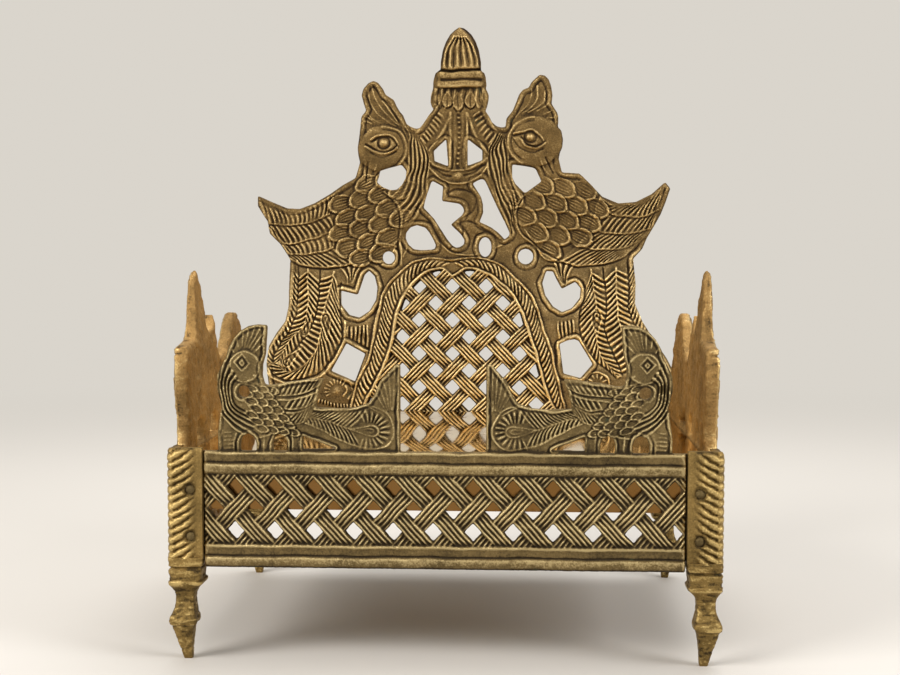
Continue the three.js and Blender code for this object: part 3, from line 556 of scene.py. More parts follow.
    def mesh(self, name, front, back, faces):
        cover = self.cover
        cells = (cover[:-1, :-1] + cover[1:, :-1] + cover[:-1, 1:] + cover[1:, 1:]) / 4 > 0.5
        touching = cells[:-1, :-1] & cells[1:, 1:] & ~cells[:-1, 1:] & ~cells[1:, :-1]
        touching |= ~cells[:-1, :-1] & ~cells[1:, 1:] & cells[:-1, 1:] & cells[1:, :-1]
        row, column = np.nonzero(touching)
        for up in (0, 1):
            for over in (0, 1):
                cells[row + up, column + over] = True
        wide = self.shape[1]
        row, column = np.nonzero(cells)
        corner = row * wide + column
        quads = np.stack([corner, corner + 1, corner + wide + 1, corner + wide], axis=-1)
        used, quads = np.unique(quads, return_inverse=True)
        quads = quads.reshape(-1, 4)
        points = np.stack([self.x[0, used % wide], self.z[used // wide, 0]], axis=-1)
        starts = quads.ravel()
        ends = np.roll(quads, -1, axis=1).ravel()
        forward = starts.astype(np.int64) * len(used) + ends
        backward = ends.astype(np.int64) * len(used) + starts
        open_edge = ~np.isin(forward, backward)
        rim_from, rim_to = starts[open_edge], ends[open_edge]
        on_rim = np.unique(rim_from)
        slope_z, slope_x = np.gradient(cover, self.pitch)
        settled = points[on_rim]
        for _ in range(3):
            gx, gz = self.sample(slope_x, settled), self.sample(slope_z, settled)
            step = (0.5 - self.sample(cover, settled)) / np.maximum(gx**2 + gz**2, 0.04)
            settled = settled + np.clip(step[:, None] * np.stack([gx, gz], axis=-1), -0.1, 0.1)
        limit = 0.62 * self.pitch
        points[on_rim] += np.clip(settled - points[on_rim], -limit, limit)
        points = np.clip(points, *self.limits)
        top = self.sample(front, points)
        bottom = self.sample(back, points)
        top = np.maximum(top, bottom + 0.5)
        count = len(used)
        vertices = np.vstack([np.column_stack([points, top]), np.column_stack([points, bottom])])
        wall = np.stack([rim_to, rim_from, rim_from + count, rim_to + count], axis=-1)
        polygons = np.vstack([quads, quads[:, ::-1] + count, wall])
        if (self.across == 0) == (self.side > 0):
            polygons = polygons[:, ::-1]
        return grid_mesh(name, self.to_world(vertices), polygons, faces)

    def to_world(self, local):
        world = np.empty_like(local)
        world[:, self.across] = local[:, 0]
        world[:, 2] = local[:, 1]
        world[:, self.deep] = self.side * (self.back + local[:, 2])
        return world * mm

    def stain(self, mesh):
        """Stores the relief at each vertex: the front's near the front, and the back's near the back."""
        places = np.empty(len(mesh.vertices) * 3)
        mesh.vertices.foreach_get("co", places)
        places = places.reshape(-1, 3) / mm
        flat = places[:, [self.across, 2]]
        height = self.side * places[:, self.deep] - self.back
        front = self.sample(self.front, flat)
        relief = self.sample(self.cavity, flat)
        nearness = np.clip(1 - (front - height) / 0.6, 0, 1)
        value = relief * nearness + (0.03 + self.sample(self.rear_cavity, flat)) * (1 - nearness)
        store_relief(mesh, value)


def grid_mesh(name, vertices, polygons, faces=None):
    """A mesh from arrays, thinned to about this many triangles where they are given."""
    mesh = bpy.data.meshes.new(name)
    mesh.vertices.add(len(vertices))
    mesh.vertices.foreach_set("co", np.asarray(vertices, np.float32).ravel())
    sides = polygons.shape[1]
    mesh.loops.add(polygons.size)
    mesh.loops.foreach_set("vertex_index", polygons.ravel().astype(np.int32))
    mesh.polygons.add(len(polygons))
    mesh.polygons.foreach_set("loop_start", np.arange(0, polygons.size, sides, dtype=np.int32))
    mesh.update(calc_edges=True)
    if faces:
        carrier = bpy.data.objects.new(name, mesh)
        bpy.context.scene.collection.objects.link(carrier)
        thin = carrier.modifiers.new("thin", "DECIMATE")
        thin.ratio = min(1.0, faces / (2 * len(polygons)))
        graph = bpy.context.evaluated_depsgraph_get()
        thinned = bpy.data.meshes.new_from_object(carrier.evaluated_get(graph))
        bpy.data.objects.remove(carrier)
        bpy.data.meshes.remove(mesh)
        mesh = thinned
        mesh.name = name
    shade_smooth(mesh, 62)
    return mesh


# Places on the peacock of the front panel are read off the left one in the photograph, in its pixels,
# and turned into shares of the bird's length and height.
bird_corner = (217.07, 451.2)
bird_share = (0.005424, 0.007784)
picture_tilt = 0.0096
front_scale = 0.288


def peacock(plate, foot, length, height, turn):
    """Draws the front peacock's plumage on a plate. The bird stands at foot and faces away from turn."""

    def at(points):
        points = np.asarray(points, float).reshape(-1, 2)
        u = (points[:, 0] - bird_corner[0]) * bird_share[0]
        tilt = picture_tilt * (points[:, 0] - 245)
        v = (bird_corner[1] + tilt - points[:, 1]) * bird_share[1]
        return np.stack([foot[0] + turn * u * length, foot[1] + v * height], axis=-1)

    def spot(x, y):
        return at([(x, y)])[0]

    stroke = 0.42
    # The head: a domed disc with a diamond eye, a fan of crest feathers and a short beak.
    disc = at([(246 + 15.5 * math.cos(t), 365 + 15.5 * math.sin(t)) for t in np.linspace(0, 6.2, 40)])
    plate.level[plate.area(disc)] += 0.35
    plate.press(curve(disc), stroke, 0.40)
    for half, rise in ((8.5, 0.34), (5.4, -0.34), (2.6, 0.36)):
        diamond = at([(243.5 + half, 361), (243.5, 361 + half), (243.5 - half, 361), (243.5, 361 - half)])
        ring = [spaced(diamond[[k, (k + 1) % 4]], np.linspace(0, 1, 30)) for k in range(4)]
        plate.press(np.vstack(ring), 0.36, rise)
    crest = [
        (233, 347), (238, 338), (244, 331), (250, 327.5), (256, 325.5), (262, 326), (266.5, 330), (267, 340),
    ]
    plate.fan(spot(243, 362), at(crest), 17.5 * front_scale, stroke, 0.45)
    plate.line(at([(250, 379), (256, 382), (265, 382)]), stroke, 0.4)
    plate.line(at([(256, 373), (263, 377), (266, 380)]), stroke, 0.4)
    # The neck: long wavy strands, with grooves between, that run down behind the head into the breast.
    for step in range(10):
        k = step / 2
        off = 3.3 * k
        neck = [
            (222 + off * 1.1, 354 + 5 * k), (218.5 + off, 372 + 2 * k), (217.8 + off, 390),
            (220.5 + off, 406 - k), (227 + off * 1.15, 418 - 2 * k), (237 + off * 1.3, 428 - 3.2 * k),
            (247 + off * 1.3, 434 - 4 * k),
        ]
        plate.line(at(neck), stroke, -0.5 if step % 2 else 0.5)
    hole = spot(244.5, 389.9)
    plate.ring(hole, 2.45, 0.55, 0.55)
    away = np.hypot(plate.x - hole[0], plate.z - hole[1])
    plate.cover = np.minimum(plate.cover, np.clip((away - 1.8) / 0.3 + 0.5, 0, 1))
    # The body: rows of small leaf-shaped scales.
    for row in range(7):
        for place in range(6, -2, -1):
            x = 248 + 10.5 * place + 5.2 * (row % 2)
            y = 385 + 6.6 * row + 1.2 * place
            if 238 + 2.2 * row < x < 270 + 3.4 * row and y < 430 and x + y < 722:
                plate.leaf(spot(x - 4, y - 1), spot(x + 11.5, y + 3.6), 4.2 * front_scale, 3, 0.38, 0.28)
    # The wing: three long feathers, one above the other, with slanting barbs.
    for top, low in (
        ([(262, 385), (285, 382.0), (305, 379.5), (324.5, 375)],
         [(268, 394.5), (290, 393.5), (308, 391), (323, 383.5)]),
        ([(279, 399.5), (295, 398), (308, 395.5), (318.5, 391.5)],
         [(284, 407.5), (298, 408), (309, 404.5), (317.5, 398)]),
        ([(286, 411), (300, 410.5), (311, 405.5), (318, 400.5)],
         [(283, 421), (297, 422), (309, 416), (316.5, 407)]),
    ):
        top, low = at(top), at(low)
        plate.hatch(low, top, 1.45, 2.8, 0, 0.38, 0.45)
        plate.line(top, stroke, 0.42)
        plate.line(low, stroke, 0.38)
        plate.press(curve(low) - [0, 0.42], 0.3, -0.35)
        round_end = (top[-1:] + low[-1:]) / 2 + [0.5 * turn, 0]
        plate.line(np.vstack([top[-1:], round_end, low[-1:]]), stroke, 0.42)
    # The tail: one big feather that ends in an eye, under a fan that fills the upright tip.
    rim = [
        (316, 407), (335, 409.5), (350, 409), (365, 405.5), (378, 406), (388, 411.5), (394, 421),
        (395.5, 433), (391, 442.5), (383, 447.5), (372, 448.5), (352, 443.5), (334, 435), (318, 426),
        (304, 419),
    ]
    plate.line(at(rim), stroke, 0.45)
    spine = at([(305, 415), (322, 418), (338, 423.5), (352, 428.5)])
    plate.line(spine, stroke * 0.9, 0.4)
    for edge in (
        [(318, 409), (338, 410.5), (356, 409.5), (370, 407.5)],
        [(308, 421), (328, 432), (346, 441), (364, 447)],
    ):
        plate.hatch(spine, at(edge), 1.2, 0, 0.6, 0.38, 0.55)
    turns = np.linspace(-1.9, 1.9, 21)
    around = [(366 + 27 * math.cos(t), 429 + 20.5 * math.sin(t)) for t in turns]
    near = [(368 + 15 * math.cos(t), 429.5 + 8.5 * math.sin(t)) for t in turns]
    plate.hatch(at(near), at(around), 0.98, 0, 0, 0.38, 0.55)
    plate.drop(spot(350, 428.5), spot(381, 430.5), 6.2 * front_scale, stroke, 0.45)
    plate.drop(spot(358, 429), spot(376, 430), 2.6 * front_scale, stroke, 0.3)
    ends = [
        (365, 403), (376.5, 392), (379, 383), (384, 375.5), (389.5, 369.5), (396, 364.5), (398.6, 378),
        (399, 396),
    ]
    plate.fan(spot(394, 418), at(ends), 9 * front_scale, stroke, 0.42)
    # The stand: a corner prop with rungs, and the legs beside the arched openings.
    for y in range(430, 450, 4):
        plate.line(at([(225, y), (234 - (y < 436) * 2, y)]), 0.34, 0.35)
    plate.line(at([(223, 427), (221, 438), (220.5, 450)]), 0.36, 0.4)
    plate.line(at([(237, 431), (235, 440), (234.8, 450)]), 0.36, 0.4)
    for x in (264.5, 293.5, 299.5):
        plate.line(at([(x, 431), (x + 0.3, 449)]), 0.40, 0.38)
    belly = [(240, 431), (256, 436), (272, 433), (288, 428), (303, 421), (312, 413)]
    plate.line(at(belly), stroke, 0.35)


def cast_brass(name, dark, body, bright, gloss=0.22, patina_and_shade=1.0, brighter_below=None):
    """Old cast brass: dark in the hollows, partly patina and partly painted shade, and bright along the
    ridges, partly rubbed wear and partly a painted highlight, with a fine sandy skin. Below a height,
    where one is given, it is lighter, with a stronger painted highlight on the ridges."""
    material, wire = new_material(name)
    place = wire.node("ShaderNodeTexCoord", output="Object")
    relief = wire.node("ShaderNodeAttribute", {"attribute_name": "relief"}, output="Fac")
    grain = wire.noise(place, 1700.0, 3.0, 0.65)
    blotch = wire.noise(place, 110.0, 5.0, 0.65)
    drift = wire.noise(place, 26.0, 3.0)
    height = relief + (grain - 0.5) * 0.50 + (blotch - 0.5) * 0.22
    # The hollows are painted dark, patina and painted shade, and the ridges pale, wear and a painted
    # highlight.
    hollow = 1 - height.smooth(-0.22, 0.02)
    ridge = height.smooth(0.02, 0.26)
    tone = (blotch * 0.6 + drift * 0.4).smooth(0.35, 0.65)
    colour = tone.mix(shade(body, 0.72), shade(body, 1.25))
    colour = (hollow * (0.94 * patina_and_shade)).mix(colour, dark)
    colour = (ridge * 0.75).mix(colour, bright)
    # Below a height the colour is lighter, most of all on the ridges: a painted highlight.
    if brighter_below:
        level = wire.node("ShaderNodeSeparateXYZ", None, {"Vector": place}, output="Z")
        low_highlight = (1 - (level + (drift - 0.5) * 0.02).smooth(*brighter_below)) * (1 - hollow)
        colour = (low_highlight * (0.12 + ridge * 0.5)).mix(colour, low_highlight_brass)
    green = wire.noise(place, 160.0, 3.0).smooth(0.66, 0.74) * hollow
    colour = (green * 0.4).mix(colour, verdigris)
    rough = 0.27 + gloss * (1 - ridge) + grain * 0.12 + hollow * 0.12
    bump = wire.node("ShaderNodeBump", None, {"Strength": 0.9, "Distance": 0.0003, "Height": grain})
    values = {
        "Base Color": colour, "Metallic": 1 - hollow * 0.25, "Roughness": rough, "Normal": bump,
    }
    finish_material(wire, wire.node("ShaderNodeBsdfPrincipled", None, values))
    return material


front = Casting("front_panel", 0, 1, -1, fine_pitch)
front.level += front_level
lattice = front.apron(front_half)
front.rim(border_rise, (front.z > rail_top) & (np.abs(front.x) < front_half))
for turn in (1, -1):
    foot = (-front_bird_start * turn, front_bird_foot)
    peacock(front, foot, front_bird_length, front_bird_height, turn)
front_mesh = front.finish("front_casting", 11, front_faces)
# Off the lattice the painted shade and highlight are a little weaker.
front.cavity *= np.where(lattice, 0.95, 0.78)
front.stain(front_mesh)
front_brass = cast_brass("olive_cast_brass", dark_olive, olive_brass, pale_brass, 0.32)
front_piece = new_object("front_casting", front_mesh, front_brass)
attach(front_piece, "root")
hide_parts("front_panel")

# The back panel. One tall flat casting: a lattice arch in a feathered band, flanked by two peacocks that
# rise to a domed finial, and a sacred sign with a crescent and dot between their necks.
crest_centre = (461.5, 246.1)
crest_centre_height = 120.4
crest_scale = 0.3673
back_pitch = 0.25
back_level = 2.3
back_faces = 330000
back_lattice_step = (6.15, 6.2)
back_lattice_middle = 63.17
back_hole = 3.88
band_level = 2.7
finial_radius = 7.5
finial_base = 178.5
finial_top = 200.0
finial_middle = 1.8
finial_half_depth = 2.45
dark_umber = (0.034, 0.019, 0.008, 1)
golden_brass = (0.165, 0.105, 0.040, 1)
warm_brass = (0.58, 0.41, 0.18, 1)

back = Casting("back_panel", 0, 1, -1, back_pitch)


def on_crest(points):
    """Places on the crest from its places in the photograph: its plane is seen at 0.3673 mm a pixel."""
    points = np.asarray(points, float).reshape(-1, 2)
    off = points[:, 0] - crest_centre[0]
    drop = points[:, 1] - crest_centre[1] - picture_tilt * off
    return np.stack([off * crest_scale, crest_centre_height - drop * crest_scale], axis=-1)


def crest_spot(x, y):
    return on_crest([(x, y)])[0]


def crest_line(points, width, height):
    back.line(on_crest(points), width, height)


def crest_hatch(low, high, every, lean, bow, width, height):
    back.hatch(on_crest(low), on_crest(high), every, lean, bow, width, height)


def dome_radius(height):
    """The finial's radius at shares of its height, from its lower roll to its tip."""
    return finial_radius * np.interp(
        height, [0, 0.03, 0.09, 0.125, 0.15, 0.19, 0.26, 0.285, 0.434, 0.628, 0.775, 0.886, 0.966, 1],
        [1.1, 1.24, 1.25, 1.13, 1.13, 1.2, 1.14, 0.985, 0.975, 0.875, 0.715, 0.515, 0.27, 0.1],
    )


crest = back.z > rail_top - 0.8
back.level += back_level
arch_left = [
    (348, 414), (356.5, 381), (369, 352.7), (375, 321), (380, 300), (387, 283), (408, 263), (429, 255.8),
    (453, 257.5),
]
arch_right = [
    (568, 414), (556, 363), (545, 328), (535, 298.4), (520, 279.5), (502, 263), (480, 255), (453, 257.5),
]
inner_left = [
    (359, 414), (373, 389), (387, 360.7), (394, 339.5), (397, 325.6), (401, 304.8), (410, 286.7),
    (427, 271.6), (443.4, 266.8), (453, 274.6),
]
inner_right = [
    (557.3, 414), (544, 383.3), (534, 348), (526, 324.4), (520, 306.7), (508, 288.6), (490, 274),
    (470, 266.8), (453, 274.6),
]


def under_arch(left, right):
    """The places between the two sides of an arch."""
    return back.area(np.vstack([curve(on_crest(left)), curve(on_crest(right))[::-1]]))


window = under_arch(inner_left, inner_right)
low_lattice = (back.z > panel_bottom + bottom_rail - lattice_margin) & (back.z < rail_top - 0.6)
low_lattice &= np.abs(back.x) < front_half
back.weave((window & crest) | low_lattice, *back_lattice_step, back_lattice_middle, back_hole)
back.rail(panel_bottom, bottom_rail)
ends = (np.abs(back.x) > front_half) & (back.z < rail_top)
back.level = np.where(ends, panel_thickness, back.level)
back.rear = np.where(ends, panel_thickness - tab_level, back.rear)

# The arch's band: an outer and an inner roll, and between them slanting barbs that meet in a point.
band = under_arch(arch_left, arch_right) & ~window & crest
back.level[band] = band_level
back.rim(0.45, crest & ~window & ~band, 1.0)
for outer, inner in ((arch_left, inner_left), (arch_right, inner_right)):
    t = np.linspace(0, 1, 40)
    a, b = spaced(curve(on_crest(outer)), t), spaced(curve(on_crest(inner)), t)
    back.hatch(a * 0.78 + b * 0.22, a * 0.24 + b * 0.76, 2.05, -3.6, -0.9, 0.55, 0.62)
    for to_outer, to_inner, width, rise in (
        (0.97, 0.03, 0.5, 0.55), (0.86, 0.14, 0.32, -0.35),
        (0.22, 0.78, 0.30, -0.45), (0.08, 0.92, 0.85, 0.62),
    ):
        back.line(a * to_outer + b * to_inner, width, rise)


def head(centre, radius, lid, lower, second, pupil, beak):
    """A peacock's smooth domed head with an almond eye and a two-part beak."""
    turn = np.linspace(0, 2 * math.pi, 60)
    disc = on_crest(np.array([np.cos(turn), np.sin(turn)]).T * radius + centre)
    inside = back.area(disc)
    middle = crest_spot(*centre)
    across = (back.x - middle[0]) / (radius[0] * crest_scale)
    up = (back.z - middle[1]) / (radius[1] * crest_scale)
    dome = 0.75 * np.sqrt(np.clip(1 - np.hypot(across, up) ** 2, 0, None)) + 0.25
    back.ridges[inside] = 0
    back.grooves[inside] = 0
    back.level[inside] += dome[inside]
    back.line(disc, 0.40, 0.12)
    facing = 1 if centre[0] < crest_centre[0] else -1
    nape = disc[facing * (disc[:, 0] - middle[0]) + 0.25 * (disc[:, 1] - middle[1]) > 1.5]
    nape = nape[np.argsort(nape[:, 1])]
    back.line(nape, 0.75, 0.55)
    back.line(middle + 0.86 * (nape - middle), 0.45, -0.35)
    back.press(curve(on_crest(lid)) - [0, 0.75], 0.6, -0.5)
    back.press(curve(on_crest(lower)) + [0, 0.75], 0.6, -0.5)
    back.ring(crest_spot(*pupil), 2.1, 0.7, -0.55)
    crest_line(lid, 0.62, 0.62)
    crest_line(lower, 0.62, 0.62)
    crest_line(second, 0.42, -0.40)
    back.press([crest_spot(*pupil)], 1.75, 1.15)
    for line, rise in beak:
        crest_line(line, 0.45, rise)


def strands(lines, width=0.42, height=0.48):
    for points in lines:
        crest_line(points, width, height)


def between(first, last, count, wave):
    """Lines evenly spread from the first to the last, with a slight wave."""
    t = np.linspace(0, 1, 14)
    a, b = spaced(curve(first, 4), t), spaced(curve(last, 4), t)
    lines = []
    for k in range(count):
        share = k / (count - 1)
        sway = wave * np.sin(t * 15 + 0.45 * k)[:, None] * [1, 0.2]
        lines.append(a * (1 - share) + b * share + sway)
    return lines


def combed(first, last, count, wave=0.9):
    """A lock of plumage: strands from the first line to the last with a dark parting between them."""
    lines = between(first, last, 2 * count - 1, wave)
    strands(lines[1::2], 0.34, -0.5)
    strands(lines[::2], 0.46, 0.6)


def long_feathers(edges, upward, lean, bow, rise):
    """A wing's long feathers: barbs slant across each, from its lower edge if upward, and a rim and a
    groove part it from the next."""
    for top, low in zip(edges, edges[1:]):
        top, low = on_crest(top), on_crest(low)
        inside = back.area(np.vstack([curve(top), curve(low)[::-1]]))
        back.level[inside] += 0.25
        start, end = (low, top) if upward else (top, low)
        back.hatch(start, end, 2.0, lean, bow, 0.50, rise)
        back.line(low, 0.50, 0.50)
        back.press(curve(low) - [0, 0.62], 0.34, -0.5)


def shoulder_scales(outline, first, along, down, base_off, half, span=(0, photo_width)):
    """Rows of round scales, with their tips inside an outline and between two places across. The tips
    stand a step along from the first, and down(row) from the first row. Each row is drawn from the wing
    forwards, so that every scale lies over the one behind it."""
    inside = 1.0 * back.area(on_crest(outline))
    for row in range(6):
        for place in range(4, -2, -1):
            x, y = np.add(first, np.multiply(along, place)) + down(row)
            if span[0] < x < span[1] and back.sample(inside, on_crest([(x, y)]))[0] > 0.5:
                base = crest_spot(x + base_off[0], y + base_off[1])
                back.leaf(base, crest_spot(x, y), half, 5, 0.5)


def herringbone(lines, every, lean):
    """Tail feathers side by side: every other line is a quill, and barbs lean down from it both ways."""
    for k in range(len(lines) - 1):
        quill, seam = (lines[k], lines[k + 1]) if k % 2 == 0 else (lines[k + 1], lines[k])
        crest_hatch(quill, seam, every, lean, 0.4, 0.52, 0.65)
    for k, points in enumerate(lines):
        crest_line(points, 0.44, 0.60 if k % 2 == 0 else -0.5)


def tail_eye(tail, end, half, core, bare):
    """A teardrop with a smaller one inside it, where the barbs are left out of a bare part."""
    back.ridges[bare] = 0
    back.drop(tail, end, half, 0.42, 0.65)
    back.drop(tail * 0.35 + end * 0.65, tail * 0.1 + end * 0.9, core, 0.4, 0.4)


# The left peacock.
long_feathers([
    [(258, 197), (270, 202.5), (290, 208.5), (306, 206.5), (320, 199.5), (336, 190)],
    [(262, 214), (270, 218.9), (285, 221), (303.6, 220.2), (317, 216.9), (330, 211)],
    [(271, 233), (282, 238.3), (297, 238.3), (313, 235.6), (325, 231), (335, 226.5)],
    [(278, 245), (288.8, 249.5), (303.6, 251), (319.6, 249), (334, 244.5)],
    [(286, 254), (298, 260), (314, 263.2), (330, 263.7), (343.7, 262.4), (353, 260)],
], False, 1.7, 1.0, 0.60)
crest_line([(343.7, 262.4), (363.8, 257.5), (378.6, 252)], 0.45, 0.5)
left_shoulder = [
    (322, 206), (345, 190), (372, 174), (390, 186), (400, 198), (402, 225), (399, 246), (380, 254),
    (352, 262), (336, 262), (327, 235),
]
shoulder_scales(
    left_shoulder, (377, 182), (-20, 4.5), lambda row: (-7 * (row % 2), 14.5 * row), (27, -11), 3.5,
    (322, 393),
)
shoulder = [(386, 190), (394, 196), (401.3, 207.5), (403, 221), (401.3, 240), (402, 250), (402, 262)]
back.press(curve(on_crest(shoulder)) - [0.9, 0], 0.4, -0.5)
crest_line(shoulder, 0.55, 0.6)
combed([(405, 122), (410.5, 133), (410.5, 150), (408.5, 170), (403, 184), (391, 195)],
       [(422, 137), (427.5, 148), (429.5, 160), (429, 175), (427.5, 190), (421, 205), (411, 224)], 6)
strands([
    [(420, 208), (412, 222), (405, 236)], [(416, 206), (408, 218)], [(408, 226), (407, 244), (404, 254)],
])
head(
    (384.3, 147), (24.3, 23.0),
    [(372, 138), (380, 134), (389, 133.6), (396, 138), (399.5, 143)],
    [(367, 145), (375, 149.5), (385, 152), (393, 150), (399, 144.5)],
    [(372, 151), (384, 156), (397, 150)],
    (384.5, 141.2),
    [([(361, 161), (360, 176)], 0.4), ([(369.5, 160), (367, 178)], -0.6),
     ([(378, 162), (375, 170), (371, 179)], 0.4)],
)
strands([
    [(373, 84), (376, 95), (383, 107), (393, 117), (402, 124)],
    [(378.5, 86), (385, 96), (394, 107), (403, 119)],
    [(369.5, 88), (371.5, 100), (378, 111), (388, 119), (397, 124)],
    [(366.5, 96), (368, 107), (373, 116), (381, 121)],
    [(384, 100), (395, 114), (404, 126), (410, 140)],
    [(364, 113), (370, 116), (377, 121)],
    [(361.5, 122), (367, 119.5), (374, 122)],
])
herringbone([
    [(293, 262), (293, 285), (291.5, 305), (286, 322), (275, 337), (267, 350), (267, 362)],
    [(298.5, 262), (298.5, 288), (296.5, 308), (290, 326), (280, 341), (273, 352), (273, 361)],
    [(308, 264.5), (308.5, 289), (307.5, 305), (303, 321), (291.6, 335), (281, 350), (279, 361)],
    [(320.4, 266), (319.5, 289), (316.4, 309), (311, 323.5), (300.8, 339), (289, 353), (284, 366)],
    [(335, 268), (328.2, 293), (323.5, 312.8), (320, 333.7), (313.8, 350.7), (302, 363), (288, 368),
     (279, 364), (275, 358)],
    [(341.5, 280), (340.5, 300), (341.5, 318), (342.5, 333.7), (335, 352), (322, 368), (305, 375),
     (286, 377.5), (273, 372), (266, 360)],
], 2.05, 3.6)
for tail, end, half in (
    ((327, 338), (326, 309), 2.1), ((301, 345), (283, 362), 2.0), ((312, 310), (303, 332), 1.6),
):
    tail, end = crest_spot(*tail), crest_spot(*end)
    ahead = end - tail
    aside = np.abs((back.x - tail[0]) * ahead[1] - (back.z - tail[1]) * ahead[0])
    along = ((back.x - tail[0]) * ahead[0] + (back.z - tail[1]) * ahead[1]) / (ahead @ ahead)
    bare = (aside < half * 0.85 * np.hypot(*ahead)) & (along > 0.35) & (along < 0.98)
    tail_eye(tail, end, half, half * 0.35, bare)
tail_edge = [
    (262, 360), (268, 372), (281, 379.5), (303, 378), (322, 372.5), (334, 358), (345, 337), (345.5, 318),
]
crest_line(tail_edge, 0.55, 0.6)
combed([(341, 264), (347, 272), (348, 281)], [(364, 261), (358, 268), (353, 280)], 4, 0)
crest_hatch(
    [(346, 322), (358, 323.5), (371, 321)], [(346, 334), (357, 340), (369.5, 345)], 1.45, 0, 0, 0.42, 0.7
)
crest_line([(345, 337.5), (357, 343.5), (369, 348.5)], 0.5, 0.55)
snail = crest_spot(337, 388)
rays = [snail + 4.4 * np.array([math.cos(t), math.sin(t)]) for t in np.linspace(0.9, 3.6, 9)]
back.fan(snail, rays, 2.6, 0.42, 0.6)
back.press([snail], 2.7, 0.8)
crest_line([(350, 380), (353, 388), (349, 396)], 0.5, 0.5)
crest_line([(345, 383), (347, 388), (344, 394)], 0.4, 0.5)
crest_hatch(
    [(317, 395), (334, 400.5), (352, 401)], [(316, 398.5), (334, 404.5), (353, 405)], 1.25, 0, 0, 0.4, 0.65
)

# The right peacock, whose wing is raised a little higher.
long_feathers([
    [(600, 196), (619, 206.5), (643, 201.3), (656, 190), (663, 184)],
    [(595, 206), (612, 213.5), (630, 216.5), (645, 215), (657, 210)],
    [(590, 228), (607.6, 232.2), (626.7, 232.8), (645.8, 229.6), (652, 226)],
    [(577, 245), (595, 248), (617.8, 247.5), (637, 241), (644, 236)],
    [(559, 259), (574, 263.5), (590, 264), (607.6, 261), (622, 256), (630, 249)],
], True, 3.4, -0.5, 0.62)
right_shoulder = [
    (524, 198), (545, 180), (572, 176), (594, 190), (613, 204), (605, 230), (592, 250), (568, 262),
    (540, 246), (520, 224),
]
shoulder_scales(
    right_shoulder, (553, 192), (21, 2.5), lambda row: (-8.5 * row, 14.5 * row), (-25, -14), 3.6
)
shoulder = [(531, 192), (523, 196), (517.5, 206), (516, 218), (520, 232), (529, 240), (541, 250), (558, 260)]
back.press(curve(on_crest(shoulder)) + [0.7, 0.3], 0.36, -0.5)
crest_line(shoulder, 0.5, 0.55)
combed([(497, 131), (490.5, 143), (488.5, 158), (490, 176), (499, 199), (507, 219), (509, 236)],
       [(505.5, 138), (507, 150), (509.5, 163), (511.5, 178), (517, 188), (520, 197)], 6)
head(
    (534.5, 141.5), (27.0, 24.5),
    [(514, 134), (523, 132), (531, 129.5), (538, 134), (543, 140)],
    [(521, 139), (527, 146.5), (536, 148.3), (545, 142.5)],
    [(512, 137), (519.5, 147), (531, 153), (542, 149)],
    (530, 136.8),
    [([(540, 159), (543, 168), (549, 175)], 0.4), ([(545.5, 158), (553, 173)], -0.6),
     ([(557, 158), (560, 171)], 0.4)],
)
strands([
    [(531, 86), (531.5, 97), (525, 108), (516, 117)],
    [(537, 87), (537.5, 98), (531, 108), (523, 114)],
    [(545, 92), (543.5, 102), (536, 109), (528, 113)],
    [(550.5, 100), (545, 107), (537, 112)],
    [(524, 94), (518.5, 104), (510.5, 116)],
    [(513, 110), (508, 120), (506.5, 127)],
    [(555, 108), (549, 113), (543, 115)],
    [(558, 117), (552, 119), (546, 118.5)],
])
herringbone([
    [(632, 259), (634, 272), (634, 290), (634.5, 306), (641, 320), (652, 334), (660, 350), (664, 366)],
    [(626.7, 262), (628, 287.4), (627.5, 306), (633, 321), (643, 337), (650, 352), (654, 370)],
    [(615, 266), (616, 287.4), (616.5, 306.5), (619, 322), (627, 338), (634, 353), (640, 372)],
    [(602.4, 267), (605.6, 291), (605.5, 311), (604.5, 327), (610, 345), (617, 361), (622, 374)],
    [(589.7, 269), (594.8, 290), (596.5, 309), (596, 334), (600.5, 352), (609, 366), (618, 376)],
    [(583, 280), (585.5, 292), (580, 312), (580.5, 333), (592, 355), (604, 366), (616, 377)],
], 2.05, 3.6)
tail, end = on_crest([(597, 337), (596.5, 309)])
bare = (np.abs(back.x - end[0]) < 1.6) & (back.z < end[1] - 0.5) & (back.z > tail[1] + 4)
tail_eye(tail, end, 2.1, 0.7, bare)
combed([(573, 262), (568, 272), (566, 284)], [(554, 260), (558, 268), (563, 280)], 4, 0)
crest_hatch([(556, 319), (566, 320), (575, 317)], [(557, 337), (567, 335), (576, 331)], 1.6, 0, 0, 0.42, 0.7)
crest_line([(557, 340), (567, 338.5), (577, 334)], 0.5, 0.55)
shell = crest_spot(598, 382)
rays = [shell + 3.4 * np.array([math.cos(t), math.sin(t)]) for t in np.linspace(0.4, 2.7, 5)]
back.ring(shell, 4.2, 0.45, 0.5)
back.fan(shell, rays, 2.0, 0.4, 0.5)

# The canopy over the sign: a beaded bar and two ladder arms that hang from the finial's leaves.
for outer, rungs_from, rungs_to, inner in (
    ([(435, 104), (425.7, 121), (417, 133)], [(440, 110), (429, 127), (420.5, 138)],
     [(448, 115), (437, 131), (427, 143)], [(451.5, 117), (441, 134), (430, 149)]),
    ([(485, 108), (493, 127), (500, 134)], [(480.5, 108), (489, 126), (496, 137)],
     [(471, 112), (480, 131), (489, 144)], [(467.5, 114), (478, 139), (489, 154)]),
):
    crest_line(outer, 1.25, 0.65)
    crest_line(inner, 1.05, 0.65)
    crest_hatch(rungs_from, rungs_to, 1.62, 0.8, 0, 0.46, 0.62)
for x in (451, 467.2):
    crest_line([(x, 113), (x + 0.3, 140), (x, 165)], 0.8, 0.65)
crest_line([(459.2, 106), (459.2, 166)], 1.5, -0.5)
for k in range(12):
    back.press(on_crest([(459.2, 107 + 5.0 * k)]), 0.85, 0.72)
